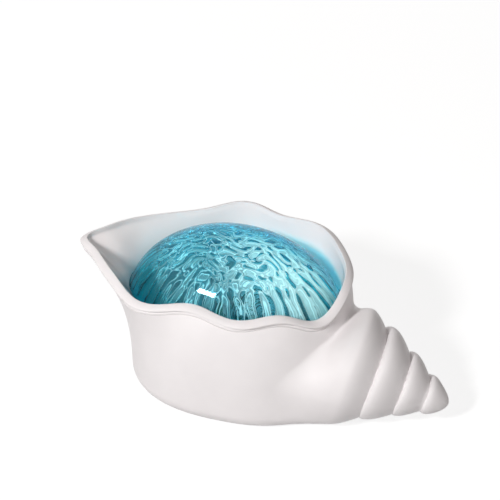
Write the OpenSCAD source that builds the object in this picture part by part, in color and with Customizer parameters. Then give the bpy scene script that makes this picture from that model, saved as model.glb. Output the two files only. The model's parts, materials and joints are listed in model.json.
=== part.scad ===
// Sea-shell wave projector: all sizes in millimetres and degrees
// +X towards the spire tip, -Y the front, +Z up, the floor at z = 0

/* [Shell body] */
// Wall of the outer shell
shell_wall = 2.2; // [1.8:0.1:2.6]
// Centre of the waist oval along X
waist_cx = -8; // [-9:0.25:-7]
// Half length of the waist oval
waist_a = 59; // [57:0.5:63]
// Half depth of the waist oval
waist_b = 49; // [47:0.5:53]
// Squareness of the waist oval
waist_n = 2.35; // [2.2:0.05:2.6]
// How far the underside draws in
foot_in = 8; // [6:0.5:9]
// Height over which the underside draws in
foot_h = 9.5; // [7:0.5:11]
// How late the wall flares to the lip
flare = 4.1; // [3.6:0.1:4.6]
// How much earlier it flares at the spout
spout_ease = 1.1; // [0.8:0.1:1.4]

/* [Lip] */
// Centre of the lip oval along X
lip_cx = -15.5; // [-16:0.25:-15]
// Half length of the lip oval
lip_a = 66; // [65:0.5:69]
// Half depth of the lip oval
lip_b = 41; // [40:0.5:45]
// Squareness of the lip oval
lip_n = 2.1; // [2:0.05:2.3]
// Height of the lip's top edge before its waves
lip_level = 73.6; // [73:0.2:78]
// Rise of the lip towards the back
lip_tilt = 0.06; // [0.04:0.01:0.08]
// Width of the lip band in plan
lip_t = 4.2; // [3.6:0.1:4.8]
// Height of the lip band
lip_h = 3.3; // [2.8:0.1:4]
// Height of the neck under the lip band
neck_h = 2.5; // [2:0.1:3]
// Step in from the lip band to the neck
seam_in = 1.2; // [0.8:0.1:1.5]
// Wall of the liner
liner_wall = 1.4; // [1.2:0.1:1.8]
// Gap between the liner's collar and the shell
liner_gap = 0.3; // [0.2:0.05:0.5]
// Depth of the rebate in the shell for that collar
rebate = 0.6; // [0.4:0.1:0.8]

/* [Lip waves] */
// Spout: direction
spout_angle = 188; // [184:1:192]
// Spout: reach
spout_reach = 8; // [6:0.5:10]
// Spout: lift
spout_lift = 5; // [4:0.5:6]
// Spout: spread
spout_spread = 24; // [20:1:28]
// Spout point: direction
point_angle = 184.5; // [182:0.5:188]
// Spout point: reach
point_reach = 6.5; // [4:0.5:8]
// Spout point: lift
point_lift = -0.5; // [-1:0.5:1]
// Spout point: spread
point_spread = 6.5; // [5:0.5:9]
// Rear wave: direction
rear_angle = 93; // [88:1:98]
// Rear wave: reach
rear_reach = 6; // [5:0.5:8]
// Rear wave: lift
rear_lift = 5; // [4:0.5:7]
// Rear wave: spread
rear_spread = 26; // [22:1:30]
// Rear right wave: direction
corner_angle = 44; // [40:1:48]
// Rear right wave: reach
corner_reach = 6.5; // [5:0.5:8]
// Rear right wave: lift
corner_lift = 2.7; // [2:0.1:4]
// Rear right wave: spread
corner_spread = 20; // [17:1:23]
// Right dip: direction
dip_angle = -22; // [-25:1:-19]
// Right dip: reach
dip_reach = 1.6; // [1.2:0.2:3]
// Right dip: lift
dip_lift = -10; // [-10.5:0.5:-7]
// Right dip: spread
dip_spread = 14; // [12:1:16]
// Front wave: direction
front_angle = -67; // [-71:1:-63]
// Front wave: reach
front_reach = 4; // [3.5:0.5:6]
// Front wave: lift
front_lift = -4.4; // [-5:0.2:-3]
// Front wave: spread
front_spread = 24; // [21:1:27]
// Front left wave: direction
left_angle = -132; // [-136:1:-128]
// Front left wave: reach
left_reach = 8; // [6:0.5:10]
// Front left wave: lift
left_lift = -4; // [-5:0.5:-3]
// Front left wave: spread
left_spread = 19; // [16:1:22]

/* [Spire] */
// First groove on the spire's axis, along X
spire_x = 67; // [65:0.5:70]
// Spire axis, along Y
spire_y = -12; // [-13:0.5:-10]
// First groove on the spire's axis, height
spire_z = 24.8; // [24:0.2:27]
// Fall of the spire's axis towards its tip
spire_slope = 14; // [12:0.2:15]
// Length from the first groove to the tip
spire_len = 41.6; // [40:0.2:48]
// Radius in the first groove
spire_r = 23.5; // [23:0.1:25]
// Radius lost per mm
spire_taper = 0.445; // [0.43:0.005:0.46]
// Extra radius lost towards the tip
spire_curl = 0.0022; // [0.0018:0.0001:0.0026]
// How far a whorl stands out from its grooves
whorl_out = 3.5; // [2.5:0.1:4]
// How much of that is lost per mm
whorl_fall = 0.05; // [0.03:0.01:0.07]
// How much more it stands out above the axis than below
whorl_top = 0.5; // [0.3:0.05:0.6]
// Where it stands out most, smaller for nearer its first groove
whorl_skew = 0.7; // [0.6:0.05:0.9]
// Pitch of the whorls
whorl_pitch = 17.3; // [16:0.1:18.5]
// Tightening of the whorls towards the tip
whorl_tighten = 0.007; // [0.005:0.001:0.009]
// How flat the grooves run across the front
whorl_lean = 0.39; // [0.3:0.01:0.45]
// Where the tip starts to round off
tip_round = 28.5; // [26:0.5:32]
// How full the tip stays before it rounds off
tip_full = 1.9; // [1.6:0.1:2.2]
// Blend radius beside the lip
blend_top = 4; // [3:0.5:6]
// Blend radius low on the body
blend_low = 24; // [18:1:26]
// How slowly the root of the spire fades into the bowl at the sides
fade_side = 60; // [54:1:75]
// How much sooner it fades on top, which leaves the valley behind the lip
fade_top = 44; // [36:1:46]

/* [Dome] */
// Dome centre along X
dome_cx = -11.4; // [-12:0.1:-11]
// Dome centre along Y
dome_cy = -1; // [-1.5:0.1:-0.5]
// Height of the dome's widest level
dome_cz = 41; // [39:0.2:42]
// Half length of the dome
dome_a = 59.5; // [57:0.5:60]
// Half depth of the dome
dome_b = 39.5; // [38:0.5:40]
// Height of the dome above its widest level
dome_c = 50; // [46:0.5:52]
// Wall of the dome
dome_wall = 2; // [1.6:0.1:2.6]
// Height of the dome's flange top
dome_seat = 54; // [53:0.1:54.4]
// Width of the dome's flange
dome_flange = 1.8; // [1.4:0.1:2]
// Thickness of the dome's flange
dome_flange_t = 2; // [1.5:0.1:3]
// Gap between dome and liner
dome_gap = 0.5; // [0.3:0.1:0.6]

/* [Dome carrier] */
// Thickness of the carrier ring
carrier_t = 4; // [3.5:0.1:6]
// Width of the carrier ring inside the dome's edge
carrier_w = 5.4; // [5:0.1:7]
// Reach of the carrier ring outside the dome's edge
carrier_out = 0.6; // [0.4:0.1:0.8]
// Radius of the carrier posts
post_r = 3; // [2.6:0.1:3.3]
// Direction of the right carrier posts
post_right = 58; // [56:1:62]
// Direction of the left carrier posts
post_left = 115; // [110:1:118]

/* [Base] */
// How far the foot pad stands proud
pad_proud = 0.3; // [0.2:0.1:0.6]
// Thickness of the foot pad
pad_t = 1.1; // [0.9:0.1:1.5]
// Foot pad edge inside the base opening
pad_inset = 4; // [3:0.5:8]
// Gap round the foot pad
pad_gap = 0.25; // [0.1:0.05:0.5]
// Flange of the base plate
flange_t = 0.9; // [0.8:0.1:1.4]
// Overlap of that flange under the shell
flange_over = 3.5; // [2:0.5:4.5]
// Land round the base opening
base_land = 6; // [5:0.5:8]
// Gap of the base plate in the opening
base_gap = 0.3; // [0.2:0.05:0.5]
// Height of the base plate's plug
plug_h = 4.2; // [4:0.1:4.8]
// Base screws from the middle, along X
base_screw_x = 31; // [28:1:33]
// Base screws from the middle, along Y
base_screw_y = 17; // [15:1:20]

/* [Chassis] */
// Depth the chassis ring is let into the shell's floor
ring_sink = 0.2; // [0.1:0.05:0.4]
// Gap left where a piece sits on the shell
seat_gap = 0.02; // [0.01:0.01:0.05]
// Width of the chassis ring on the shell's floor
ring_land = 3.5; // [2.5:0.5:4.5]
// Height of the chassis ring
ring_h = 4.8; // [4.6:0.1:6]
// Thickness of the chassis deck
deck_t = 2.4; // [2:0.1:3]
// Gap between the deck and the shell
deck_gap = 2; // [1.5:0.1:3]
// Radius of the screw bosses
boss_r = 4; // [3.5:0.1:4.5]

/* [Screws] */
// Radius of the main screws
screw_r = 1.5; // [1.3:0.05:1.6]
// Radius of a main screw's head
head_r = 2.7; // [2.4:0.05:2.8]
// Height of a main screw's head
head_h = 1.8; // [1.4:0.05:1.9]
// Radius of the small screws
small_r = 1.1; // [1:0.05:1.2]
// Radius of a small screw's head
small_head_r = 2; // [1.8:0.05:2.2]
// Height of a small screw's head
small_head_h = 1.2; // [1:0.05:1.5]
// Bite of a screw below its seat
bite = 5; // [4:0.1:5.2]
// How far a sunk head lies below the face
head_sink = 0.3; // [0.2:0.05:0.5]
// Clearance round a screw in its hole
hole_gap = 0.2; // [0.1:0.05:0.3]
// Gap at a thread
thread_gap = 0.02; // [0.01:0.01:0.04]

/* [Wave drive] */
// Gear module
gear_m = 0.8; // [0.75:0.01:0.84]
// Teeth of the wave gear
gear_teeth = 24; // [22:1:25]
// Teeth of the pinion
pinion_teeth = 12; // [11:1:13]
// Thinning of each tooth for backlash
backlash = 0.36; // [0.3:0.02:0.4]
// Opening of the gear centres
mesh_gap = 0.25; // [0.2:0.05:0.35]
// Face width of the wave gear
gear_w = 3.6; // [3:0.1:4]
// How far the pinion stands past the gear on each side
pinion_over = 0.6; // [0.3:0.1:0.8]
// Radius of the wave axle
axle_r = 1.5; // [1.3:0.05:1.8]
// Running clearance on a shaft
run_gap = 0.05; // [0.03:0.01:0.08]
// Radius of the axle post
axle_post_r = 4; // [3.5:0.1:4.5]
// Height of the axle post above the deck
axle_post_h = 19.6; // [19:0.2:22]
// Depth the axle is pressed into its post
axle_depth = 14; // [10:0.5:16]
// End play of the hub
end_play = 0.4; // [0.35:0.05:0.6]
// Radius of the hub below the disc
hub_r = 6; // [5:0.1:6.6]
// Height of the hub below the disc
hub_h = 5.6; // [5.2:0.1:7]
// Radius of the hub's spigot
spigot_r = 4; // [3.4:0.1:4.6]
// Height of the hub's spigot
spigot_h = 3.6; // [3:0.1:4.5]
// Radius of the wave disc
disc_r = 26; // [23:0.5:26.5]
// Thickness of the wave disc
disc_t = 2.2; // [1.8:0.1:2.6]
// Height of the ripples on the disc
disc_ripple = 0.5; // [0.3:0.1:0.8]
// Ripples from the hub to the rim
disc_rings = 6; // [4:1:8]
// Radius of the axle clip
clip_r = 3.4; // [3:0.1:3.9]
// Thickness of the axle clip
clip_t = 0.8; // [0.6:0.1:1]

/* [Motor] */
// Radius of the motor can
can_r = 9.8; // [9:0.1:10]
// Height of the motor can
can_h = 12; // [11.5:0.1:12.5]
// Motor can from the output shaft, along X
can_shift = 7.6; // [6.5:0.1:9]
// Width of the motor's terminal block
term_w = 6; // [5:0.1:7]
// Height of the motor's terminal block
term_h = 5; // [4:0.1:6]
// Motor's terminal block past the can
term_t = 0.8; // [0.6:0.1:1.2]
// Gearbox length
box_l = 25; // [24:0.5:28]
// Gearbox depth
box_w = 20; // [19:0.5:21]
// Gearbox height
box_h = 6; // [5:0.1:6.4]
// Gearbox end from the output shaft
box_end = 7; // [5:0.1:8]
// Ear screws from the middle
ear_y = 13.8; // [13.5:0.1:15]
// Ear thickness
ear_t = 2; // [1.6:0.1:2.6]
// Ear radius
ear_r = 3.2; // [2.8:0.1:3.4]
// Radius of the motor shaft
shaft_r = 1.5; // [1.2:0.05:1.8]
// Depth of the shaft in the gearbox
shaft_in = 4.4; // [3.5:0.1:4.6]

/* [Light] */
// Lamp centre along X
led_x = -12; // [-13:0.25:-11]
// Lamp centre to the wave axle
led_offset = 20; // [19.5:0.25:21]
// Side of the heatsink
sink_side = 24; // [22:0.5:25]
// Height of the heatsink
sink_h = 11; // [9:0.2:12.5]
// Top plate of the heatsink
sink_top = 3; // [2.4:0.1:4]
// Fins on the heatsink
sink_fins = 5; // [4:1:6]
// Thickness of a fin
fin_t = 2; // [1.4:0.1:2.2]
// Length of the heatsink's screw tab
tab_l = 6; // [5.5:0.1:6.5]
// Thickness of that tab
tab_t = 2; // [1.6:0.1:2.6]
// Side of the lamp board
led_side = 20; // [18.5:0.5:22]
// Thickness of the circuit boards
pcb_t = 1.6; // [1.2:0.1:1.8]
// Side of a lamp chip
chip_side = 3; // [2.5:0.1:3.4]
// Height of a lamp chip
chip_h = 0.9; // [0.7:0.1:1.2]
// Spacing of the lamp chips
chip_pitch = 5; // [4:0.1:5.4]
// Radius of the lens
lens_r = 8.6; // [8.2:0.1:9]
// Wall of the lens skirt
lens_wall = 1.4; // [1:0.1:1.4]
// Height of the lens skirt
lens_skirt = 4.5; // [4:0.1:5]
// Height of the lens above its skirt
lens_cap = 3.5; // [2.5:0.1:4]

/* [Electronics] */
// Main board length
board_l = 34; // [33:0.5:36]
// Gap between the main board and the heatsink's tab
board_gap = 0.6; // [0.4:0.1:1]
// Main board rear edge, in from the shell's outside
board_in = 10; // [9.6:0.1:10.6]
// Main board shift along X from the middle
board_shift = -1.5; // [-2:0.5:-1]
// Height of the board's posts
board_post_h = 3; // [2.8:0.1:4]
// Radius of the board's posts
board_post_r = 2.5; // [2.2:0.05:2.6]
// Board posts from the board's edges
board_edge = 3; // [2.8:0.1:3.2]
// Length of the board's tongue under the inlet
tongue_l = 3; // [2:0.1:3.2]
// Power inlet from the middle, along X
usb_x = -7.5; // [-7.8:0.1:-6.5]
// Width of the power inlet
usb_w = 8.94; // [8.9:0.02:9.1]
// Height of the power inlet
usb_h = 3.2; // [3:0.1:3.4]
// Length of the power inlet
usb_l = 10.7; // [9.5:0.1:11.5]
// Sheet of the power inlet
usb_wall = 0.3; // [0.25:0.05:0.4]
// Depth of the power inlet's mouth
usb_mouth = 6.7; // [6:0.1:7.5]
// Gap round the power inlet
usb_gap = 0.3; // [0.2:0.05:0.5]
// Driver chip length
chip_l = 6; // [5:0.1:7]
// Driver chip width
chip_w = 5; // [4:0.1:5.4]
// Driver chip height
chip_t = 1.4; // [1:0.1:1.8]
// Wire header length
header_l = 5; // [4:0.1:5.6]
// Wire header width
header_w = 4; // [3.4:0.1:4.4]
// Wire header height
header_h = 4; // [3.4:0.1:5]
// Wire headers from the board's middle
header_x = 8; // [7.5:0.1:8.4]
// Radius of a wire
wire_r = 0.55; // [0.45:0.05:0.65]
// Spacing of a pair of wires
wire_gap = 1.6; // [1.4:0.1:1.8]
// Button from the middle, along X
btn_x = 6.5; // [6:0.1:7]
// Height of the button above the board
btn_up = 4; // [3.6:0.1:4.4]
// Radius of the button
btn_r = 4; // [3.5:0.1:4.2]
// Radius of the button's flange
btn_flange_r = 5; // [4.8:0.1:5.2]
// Thickness of the button's flange
btn_flange_t = 1.2; // [1:0.1:1.4]
// Button standing out of the panel
btn_out = 1; // [0.8:0.1:1.6]
// Travel of the button
btn_travel = 1.2; // [0.8:0.1:1.3]
// Gap left at the end of the travel
btn_rest = 0.4; // [0.35:0.05:0.6]
// Length of the button's nub
btn_nub = 0.8; // [0.6:0.1:1]
// Switch body width
switch_w = 6.4; // [5.6:0.1:6.8]
// Switch body depth
switch_d = 4.4; // [4:0.1:5]
// Switch body height
switch_h = 7; // [6:0.1:8]
// Length of the switch's plunger
plunger = 1; // [0.6:0.1:1.2]

/* [Rear panel] */
// Width of the opening in the shell
win_w = 26; // [25.4:0.2:28]
// Height of the opening in the shell
win_h = 12; // [11.4:0.1:13]
// Gap round the panel in the opening
win_gap = 0.3; // [0.2:0.05:0.5]
// Thickness of the panel's plate
panel_t = 2; // [1.6:0.1:2.6]
// Panel plate past the opening
panel_over = 2; // [1:0.1:2.4]
// Panel plate's face, in from the shell's outside
panel_in = 4; // [3.8:0.1:4.4]
// Panel's outer face, in from the shell's outside
panel_recess = 1.6; // [1.2:0.1:2]
// Length of the panel's foot
foot_l = 9; // [8.5:0.1:10]
// Width of the panel's foot
foot_w = 17; // [14:0.5:17.6]
// Thickness of the panel's foot
foot_t = 2; // [1.6:0.1:2.2]
// Radius of the locating pegs
peg_r = 1.5; // [1.2:0.1:1.8]

/* [Hidden] */
$fn = 48;

// Heights
base_z = pad_proud + flange_t;
floor_z = base_z + shell_wall - ring_sink;
ring_z = floor_z + seat_gap;
deck_z0 = ring_z + ring_h;
deck_z = deck_z0 + deck_t;
plug_z = base_z + plug_h;
carrier_z = dome_seat - dome_flange_t;
post_z = carrier_z - carrier_t;

// Ovals
hole_a = waist_a - foot_in - base_land;
hole_b = waist_b - foot_in - base_land;
deck_a = waist_a - shell_wall - deck_gap;
deck_b = waist_b - shell_wall - deck_gap;
seat_k = sqrt(1 - pow((dome_seat - dome_cz) / dome_c, 2));
seat_a = dome_a * seat_k;
seat_b = dome_b * seat_k;

// Drive
axle_x = led_x + led_offset;
gear_pr = gear_m * gear_teeth / 2;
pinion_pr = gear_m * pinion_teeth / 2;
shaft_x = axle_x + gear_pr + pinion_pr + mesh_gap;
axle_top = deck_z + axle_post_h;
hub_z = axle_top + end_play;
disc_z = hub_z + hub_h;
hub_top = disc_z + spigot_h;
gear_z = disc_z - 1.4 - gear_w;
pinion_z = gear_z - pinion_over;
pinion_h = gear_w + 2 * pinion_over;
box_z = deck_z + can_h;
box_top = box_z + box_h;
can_x = shaft_x + can_shift;
term_x = can_x - can_r - term_t;
ear_x = can_x - 1;

// Light
sink_z = deck_z + sink_h;
led_z = sink_z + pcb_t;

// Electronics
board_x = waist_cx + board_shift;
board_y1 = waist_b - board_in;
board_y0 = sink_side / 2 + tab_l + board_gap;
board_w = board_y1 - board_y0;
board_z = deck_z + board_post_h;
board_top = board_z + pcb_t;
inlet_x = waist_cx + usb_x;
button_x = waist_cx + btn_x;
button_z = board_top + btn_up;
panel_y1 = waist_b - panel_in;
panel_y0 = panel_y1 - panel_t;
panel_face = waist_b - panel_recess;
win_z = button_z;
led_head_x = board_x - header_x;
motor_head_x = board_x + header_x;
chip_y = board_y0 + header_w + 1;
button_y = panel_y0 - btn_rest;
nub_y = button_y - btn_flange_t - btn_nub;
plunger_y = nub_y - btn_travel - btn_rest;
switch_y = plunger_y - plunger;

// Places
post_at = [for (a = [post_right, post_left, -post_left, -post_right])
  [dome_cx + (seat_a - carrier_w / 2 + carrier_out / 2) * cos(a),
   dome_cy + (seat_b - carrier_w / 2 + carrier_out / 2) * sin(a)]];
base_screw_at = [for (i = [-1, 1], j = [-1, 1]) [waist_cx + i * base_screw_x, j * base_screw_y]];
board_at = [for (i = [-1, 1], j = [0, 1])
  [board_x + i * (board_l / 2 - board_edge),
   j == 0 ? board_y0 + board_edge : board_y1 - board_edge]];
tab_at = [for (i = [-1, 1]) [led_x, i * (sink_side / 2 + tab_l / 2)]];
peg_at = [for (i = [-1, 1]) [waist_cx + i * foot_w / 4, panel_y0 - foot_l / 2]];

// Lip waves
lobes = [[spout_angle, spout_reach, spout_lift, spout_spread],
  [point_angle, point_reach, point_lift, point_spread],
  [rear_angle, rear_reach, rear_lift, rear_spread],
  [corner_angle, corner_reach, corner_lift, corner_spread],
  [dip_angle, dip_reach, dip_lift, dip_spread],
  [front_angle, front_reach, front_lift, front_spread],
  [left_angle, left_reach, left_lift, left_spread]];
ones = [for (l = lobes) 1];

function clamp01(x) = min(max(x, 0), 1);
function ease(x) = let (c = clamp01(x)) c * c * (3 - 2 * c);
function wrap(d) = d - 360 * floor((d + 180) / 360);
function bump(th, at, spread) = exp(-pow(wrap(th - at) / spread, 2));
function waves(th, k) = [for (l = lobes) l[k] * bump(th, l[0], l[3])] * ones;
function oval(th, a, b, n) =
  pow(pow(abs(cos(th)) / a, n) + pow(abs(sin(th)) / b, n), -1 / n);
function lip_r(th) = oval(th, lip_a, lip_b, lip_n) + waves(th, 1);
function lip_z(th) = lip_level + lip_tilt * lip_r(th) * sin(th) + waves(th, 2);
function seam_z(th) = lip_z(th) - lip_h - neck_h;

// Waist oval as seen from the lip's centre, closed in on in a few steps
function waist_step(th, r, n) = n == 0 ? r :
  let (x = r * cos(th) + lip_cx - waist_cx, y = r * sin(th))
  waist_step(th,
    r / pow(pow(abs(x) / waist_a, waist_n) + pow(abs(y) / waist_b, waist_n), 1 / waist_n), n - 1);
function waist_r(th) = waist_step(th, oval(th, waist_a, waist_b, waist_n), 6);

// Oval of the dome as seen from the lip's centre
function dome_r(th, a, b) =
  let (dx = lip_cx - dome_cx, dy = -dome_cy, c = cos(th) / a, s = sin(th) / b,
    p = c * c + s * s, q = dx * c / a + dy * s / b, w = dx * dx / a / a + dy * dy / b / b - 1)
  (-q + sqrt(q * q - p * w)) / p;

// Waist, seam radius, seam height and flare all round, every 3 degrees
step = 3;
rim = [for (i = [0:360 / step]) let (th = i * step)
  [waist_r(th), lip_r(th) - seam_in, seam_z(th), flare - spout_ease * bump(th, spout_angle, 36)]];
function rim_at(th) =
  let (k = (th < 0 ? th + 360 : th) / step, i = min(floor(k), 360 / step - 1), f = k - i)
  rim[i] * (1 - f) + rim[i + 1] * f;

// Spire: radius at a distance along the axis and an angle round it
function spire_at(t, ph) =
  let (f = ph < 0 ? ph + 360 : ph,
    turn = t / whorl_pitch * (1 + whorl_tighten * t) - f / 360 + whorl_lean * (1 - cos(f)) / 2
      + 0.185 - whorl_lean / 2,
    swell = pow(sin(180 * pow(turn - floor(turn), whorl_skew)), 0.8),
    u = (t - 9.5 + sqrt(pow(t + 9.5, 2) + 30)) / 2,
    v = min(u, tip_round),
    core = spire_r - spire_taper * v - spire_curl * v * v,
    c = clamp01((t - tip_round) / (spire_len - tip_round)),
    out = (whorl_out - whorl_fall * u) * (1 + whorl_top * cos(f)) * (1 - c)
      * (1 - ease((t + 18) / 9) * (1 - swell)))
  (core + out) * pow(1 - pow(c, tip_full), 0.6);

// Shell: below 0 inside, above 0 outside, about a distance near the surface
function field(p) =
  let (x = p[0] - lip_cx, y = p[1], z = p[2], row = rim_at(atan2(y, x)),
    q = min(max((z - base_z) / (row[2] - base_z), 0), 1.06),
    k = clamp01(1 - (z - base_z) / foot_h),
    bowl = norm([x, y]) - row[0] - (row[1] - row[0]) * pow(q, row[3]) + foot_in * (1 - sqrt(1 - k * k)),
    dx = p[0] - spire_x, dz = z - spire_z, cs = cos(spire_slope), sn = sin(spire_slope),
    t = dx * cs - dz * sn, a = dx * sn + dz * cs, b = spire_y - y,
    d = norm([a, b]), ph = atan2(b, a),
    fade = t < -10 ? pow(t + 10, 2) / (fade_side - fade_top * max(cos(ph), 0)) : 0,
    spire = t > spire_len ? norm([d, t - spire_len]) : d - spire_at(t, ph) + fade,
    g = blend_low + (blend_top - blend_low) * ease((z - 26) / 30),
    h = clamp01(0.5 + 0.5 * (spire - bowl) / g))
  max(spire * (1 - h) + bowl * h - g * h * (1 - h), base_z - z, z - row[2] - 9);

// Distance along a ray to the surface set in by a wall
function reach(o, d, wall, lo, hi, n) =
  let (m = (lo + hi) / 2)
  n == 0 ? let (f0 = field(o + lo * d) + wall, f1 = field(o + hi * d) + wall)
      lo + (hi - lo) * clamp01(-f0 / max(f1 - f0, 0.000001))
    : field(o + m * d) + wall < 0 ? reach(o, d, wall, m, hi, n - 1)
    : reach(o, d, wall, lo, m, n - 1);
function on_skin(o, d, wall) = o + d * reach(o, d, wall, 0, 116, 11);

// Curve that the rays leave from: along the body and down the spire
axis_a = [waist_cx - 40, -1, 34];
axis_b = [30, -6, 36];
axis_c = [spire_x + (spire_len - 7) * cos(spire_slope), spire_y,
  spire_z - (spire_len - 7) * sin(spire_slope)];
function axis_at(s) = (1 - s) * (1 - s) * axis_a + 2 * s * (1 - s) * axis_b + s * s * axis_c;
function unit(v) = v / norm(v);
function axis_dir(s) = unit((1 - s) * (axis_b - axis_a) + s * (axis_c - axis_b));
function up_of(d) = unit([0, 0, 1] - d[2] * d);

// Rows of rays: a fan at the left end, rings along the curve, a fan at the tip
function ring_of(s, tilt, sides, wall) =
  let (o = axis_at(s), d = axis_dir(s), n = up_of(d), b = cross(d, n))
  [for (j = [0:sides - 1]) let (f = j * 360 / sides)
    on_skin(o, sin(tilt) * d + cos(tilt) * (cos(f) * n + sin(f) * b), wall)];
function skin_rows(rings, sides, wall) = concat(
  [for (a = [-84, -77, -70, -63, -57, -52, -47, -42, -36, -29, -21, -13, -6]) ring_of(0, a, sides, wall)],
  [for (i = [0:rings]) ring_of(pow(i / rings, 0.72), 0, sides, wall)],
  [for (a = [18, 38, 58, 76]) ring_of(1, a, sides, wall)]);

// Closed skin from rows of points between two end points
module skin(rows, first, last) {
  n = len(rows[0]);
  m = len(rows);
  points = concat([first], [for (r = rows) for (p = r) p], [last]);
  faces = concat(
    [for (j = [0:n - 1]) [0, 1 + j, 1 + (j + 1) % n]],
    [for (i = [0:m - 2]) for (j = [0:n - 1]) let (k = (j + 1) % n)
      [1 + i * n + j, 1 + (i + 1) * n + j, 1 + (i + 1) * n + k]],
    [for (i = [0:m - 2]) for (j = [0:n - 1]) let (k = (j + 1) % n)
      [1 + i * n + j, 1 + (i + 1) * n + k, 1 + i * n + k]],
    [for (j = [0:n - 1]) [m * n + 1, 1 + (m - 1) * n + (j + 1) % n, 1 + (m - 1) * n + j]]);
  polyhedron(points, faces);
}

// Closed band from rings of closed profiles
module band(rings) {
  n = len(rings[0]);
  m = len(rings);
  points = [for (r = rings) for (p = r) p];
  faces = [for (i = [0:m - 1]) for (j = [0:n - 1]) for (h = [0, 1])
    let (a = i * n + j, b = ((i + 1) % m) * n + j, c = ((i + 1) % m) * n + (j + 1) % n,
      d = i * n + (j + 1) % n)
    h == 0 ? [a, c, b] : [a, d, c]];
  polyhedron(points, faces);
}

module shell_skin(rings, sides, wall) {
  skin(skin_rows(rings, sides, wall),
    on_skin(axis_at(0), -axis_dir(0), wall),
    on_skin(axis_at(1), axis_dir(1), wall));
}

// Everything above the seam
module above_seam() {
  n = 120;
  th = [for (i = [0:n - 1]) i * 360 / n];
  function at(r, t, z) = [lip_cx + r * cos(t), r * sin(t), z];
  rows = [for (k = [0:3]) [for (t = th) let (w = rim_at(t), far = 3 + 0.4 * max(w[1] - w[0], 0))
    at(k == 0 ? w[1] - 9 : w[1] + far, t, k < 2 ? w[2] : k == 2 ? w[2] + 6 : 110)]];
  skin(rows, [lip_cx, 0, lip_level - 8], [lip_cx, 0, 110]);
}

// Room behind the liner's funnel
module liner_room() {
  g = liner_wall + liner_gap;
  th = [for (i = [0:119]) (i + 0.4) * step];
  rows = [for (k = [6:-1:-1]) [for (t = th)
    let (p = funnel(t, min(max(k, 0), 5) / 5) + [g, k < 0 ? 3 : k > 5 ? -0.6 : 0])
    [lip_cx + p[0] * cos(t), p[0] * sin(t), p[1]]]];
  skin(rows, [lip_cx, 0, dome_seat - 4], [lip_cx, 0, lip_level]);
}

module oval_2d(a, b) {
  polygon([for (i = [0:71]) let (r = oval(i * 5, a, b, waist_n)) [r * cos(i * 5), r * sin(i * 5)]]);
}

module oval_block(a, b, z0, z1) {
  translate([waist_cx, 0, z0]) linear_extrude(z1 - z0) oval_2d(a, b);
}

module block(x0, x1, y0, y1, z0, z1) {
  translate([x0, y0, z0]) cube([x1 - x0, y1 - y0, z1 - z0]);
}

// Rod standing on a point
module rod(at, z0, z1, r) {
  translate([at[0], at[1], z0]) cylinder(r = r, h = z1 - z0);
}

// Rod lying along Y
module rod_y(x, z, y0, y1, r) {
  translate([x, y0, z]) rotate([-90, 0, 0]) cylinder(r = r, h = y1 - y0);
}

module outer_shell() {
  color([0.93, 0.91, 0.9]) resize([0, 0, 0]) difference() {
    shell_skin(42, 44, 0);
    shell_skin(28, 36, shell_wall);
    above_seam();
    liner_room();
    oval_block(hole_a + ring_land + 0.5, hole_b + ring_land + 0.5, floor_z, floor_z + 9);
    oval_block(deck_a + 0.6, deck_b + 0.6, deck_z0 - 0.6, deck_z + 6);
    oval_block(hole_a, hole_b, -5, floor_z + 3);
    block(waist_cx - win_w / 2, waist_cx + win_w / 2, waist_b - 9, waist_b + 9,
      win_z - win_h / 2, win_z + win_h / 2);
  }
}

// Funnel from the neck down to the dome's edge, at a share of the way
function neck_r(th) = lip_r(th) - seam_in - shell_wall + rebate - liner_gap - liner_wall;
function funnel(th, s) =
  let (top = [neck_r(th), seam_z(th) + seat_gap],
    foot = [dome_r(th, seat_a + dome_gap, seat_b + dome_gap), dome_seat + seat_gap],
    bend = [foot[0] + 0.25 * (top[0] - foot[0]), foot[1] + 0.45 * (top[1] - foot[1])])
  (1 - s) * (1 - s) * top + 2 * s * (1 - s) * bend + s * s * foot;

// The side of the funnel that is seen, from just under the rim down to the dome's edge
function funnel_face(th, s) =
  let (top = [lip_r(th) - lip_t - 0.7, lip_z(th) - 0.9 * lip_h], foot = funnel(th, 1),
    bend = [foot[0] + 0.34 * (top[0] - foot[0]), foot[1] + 0.45 * (top[1] - foot[1])])
  (1 - s) * (1 - s) * top + 2 * s * (1 - s) * bend + s * s * foot;

// Lip and funnel: one profile per direction
function liner_profile(th) =
  let (r = lip_r(th), z = lip_z(th), zs = seam_z(th) + seat_gap, rn = r - seam_in,
    edge = dome_r(th, seat_a + dome_flange, seat_b + dome_flange))
  concat(
    [[rn - 0.4, zs], [rn, zs + 0.2 * neck_h], [rn - 0.05, zs + 0.5 * neck_h], [rn - 0.55, zs + 0.75 * neck_h],
     [r - 0.3, z - lip_h], [r, z - 0.85 * lip_h], [r - 0.03 * lip_t, z - 0.66 * lip_h],
     [r - 0.36 * lip_t, z - 0.3 * lip_h], [r - 0.7 * lip_t, z - 0.08 * lip_h], [r - 0.92 * lip_t, z],
     [r - lip_t, z - 0.14 * lip_h], [r - lip_t - 0.2, z - 0.4 * lip_h]],
    [for (i = [0:5]) funnel_face(th, i / 5)],
    [[edge, dome_seat + seat_gap]],
    [for (i = [4:-1:0]) funnel(th, i / 5) + [liner_wall, 0]]);
module lip_liner() {
  n = 120;
  color([0.95, 0.95, 0.95]) band([for (i = [0:n - 1]) let (th = i * 360 / n)
    [for (p = liner_profile(th)) [lip_cx + p[0] * cos(th), p[0] * sin(th), p[1]]]]);
}

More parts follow.
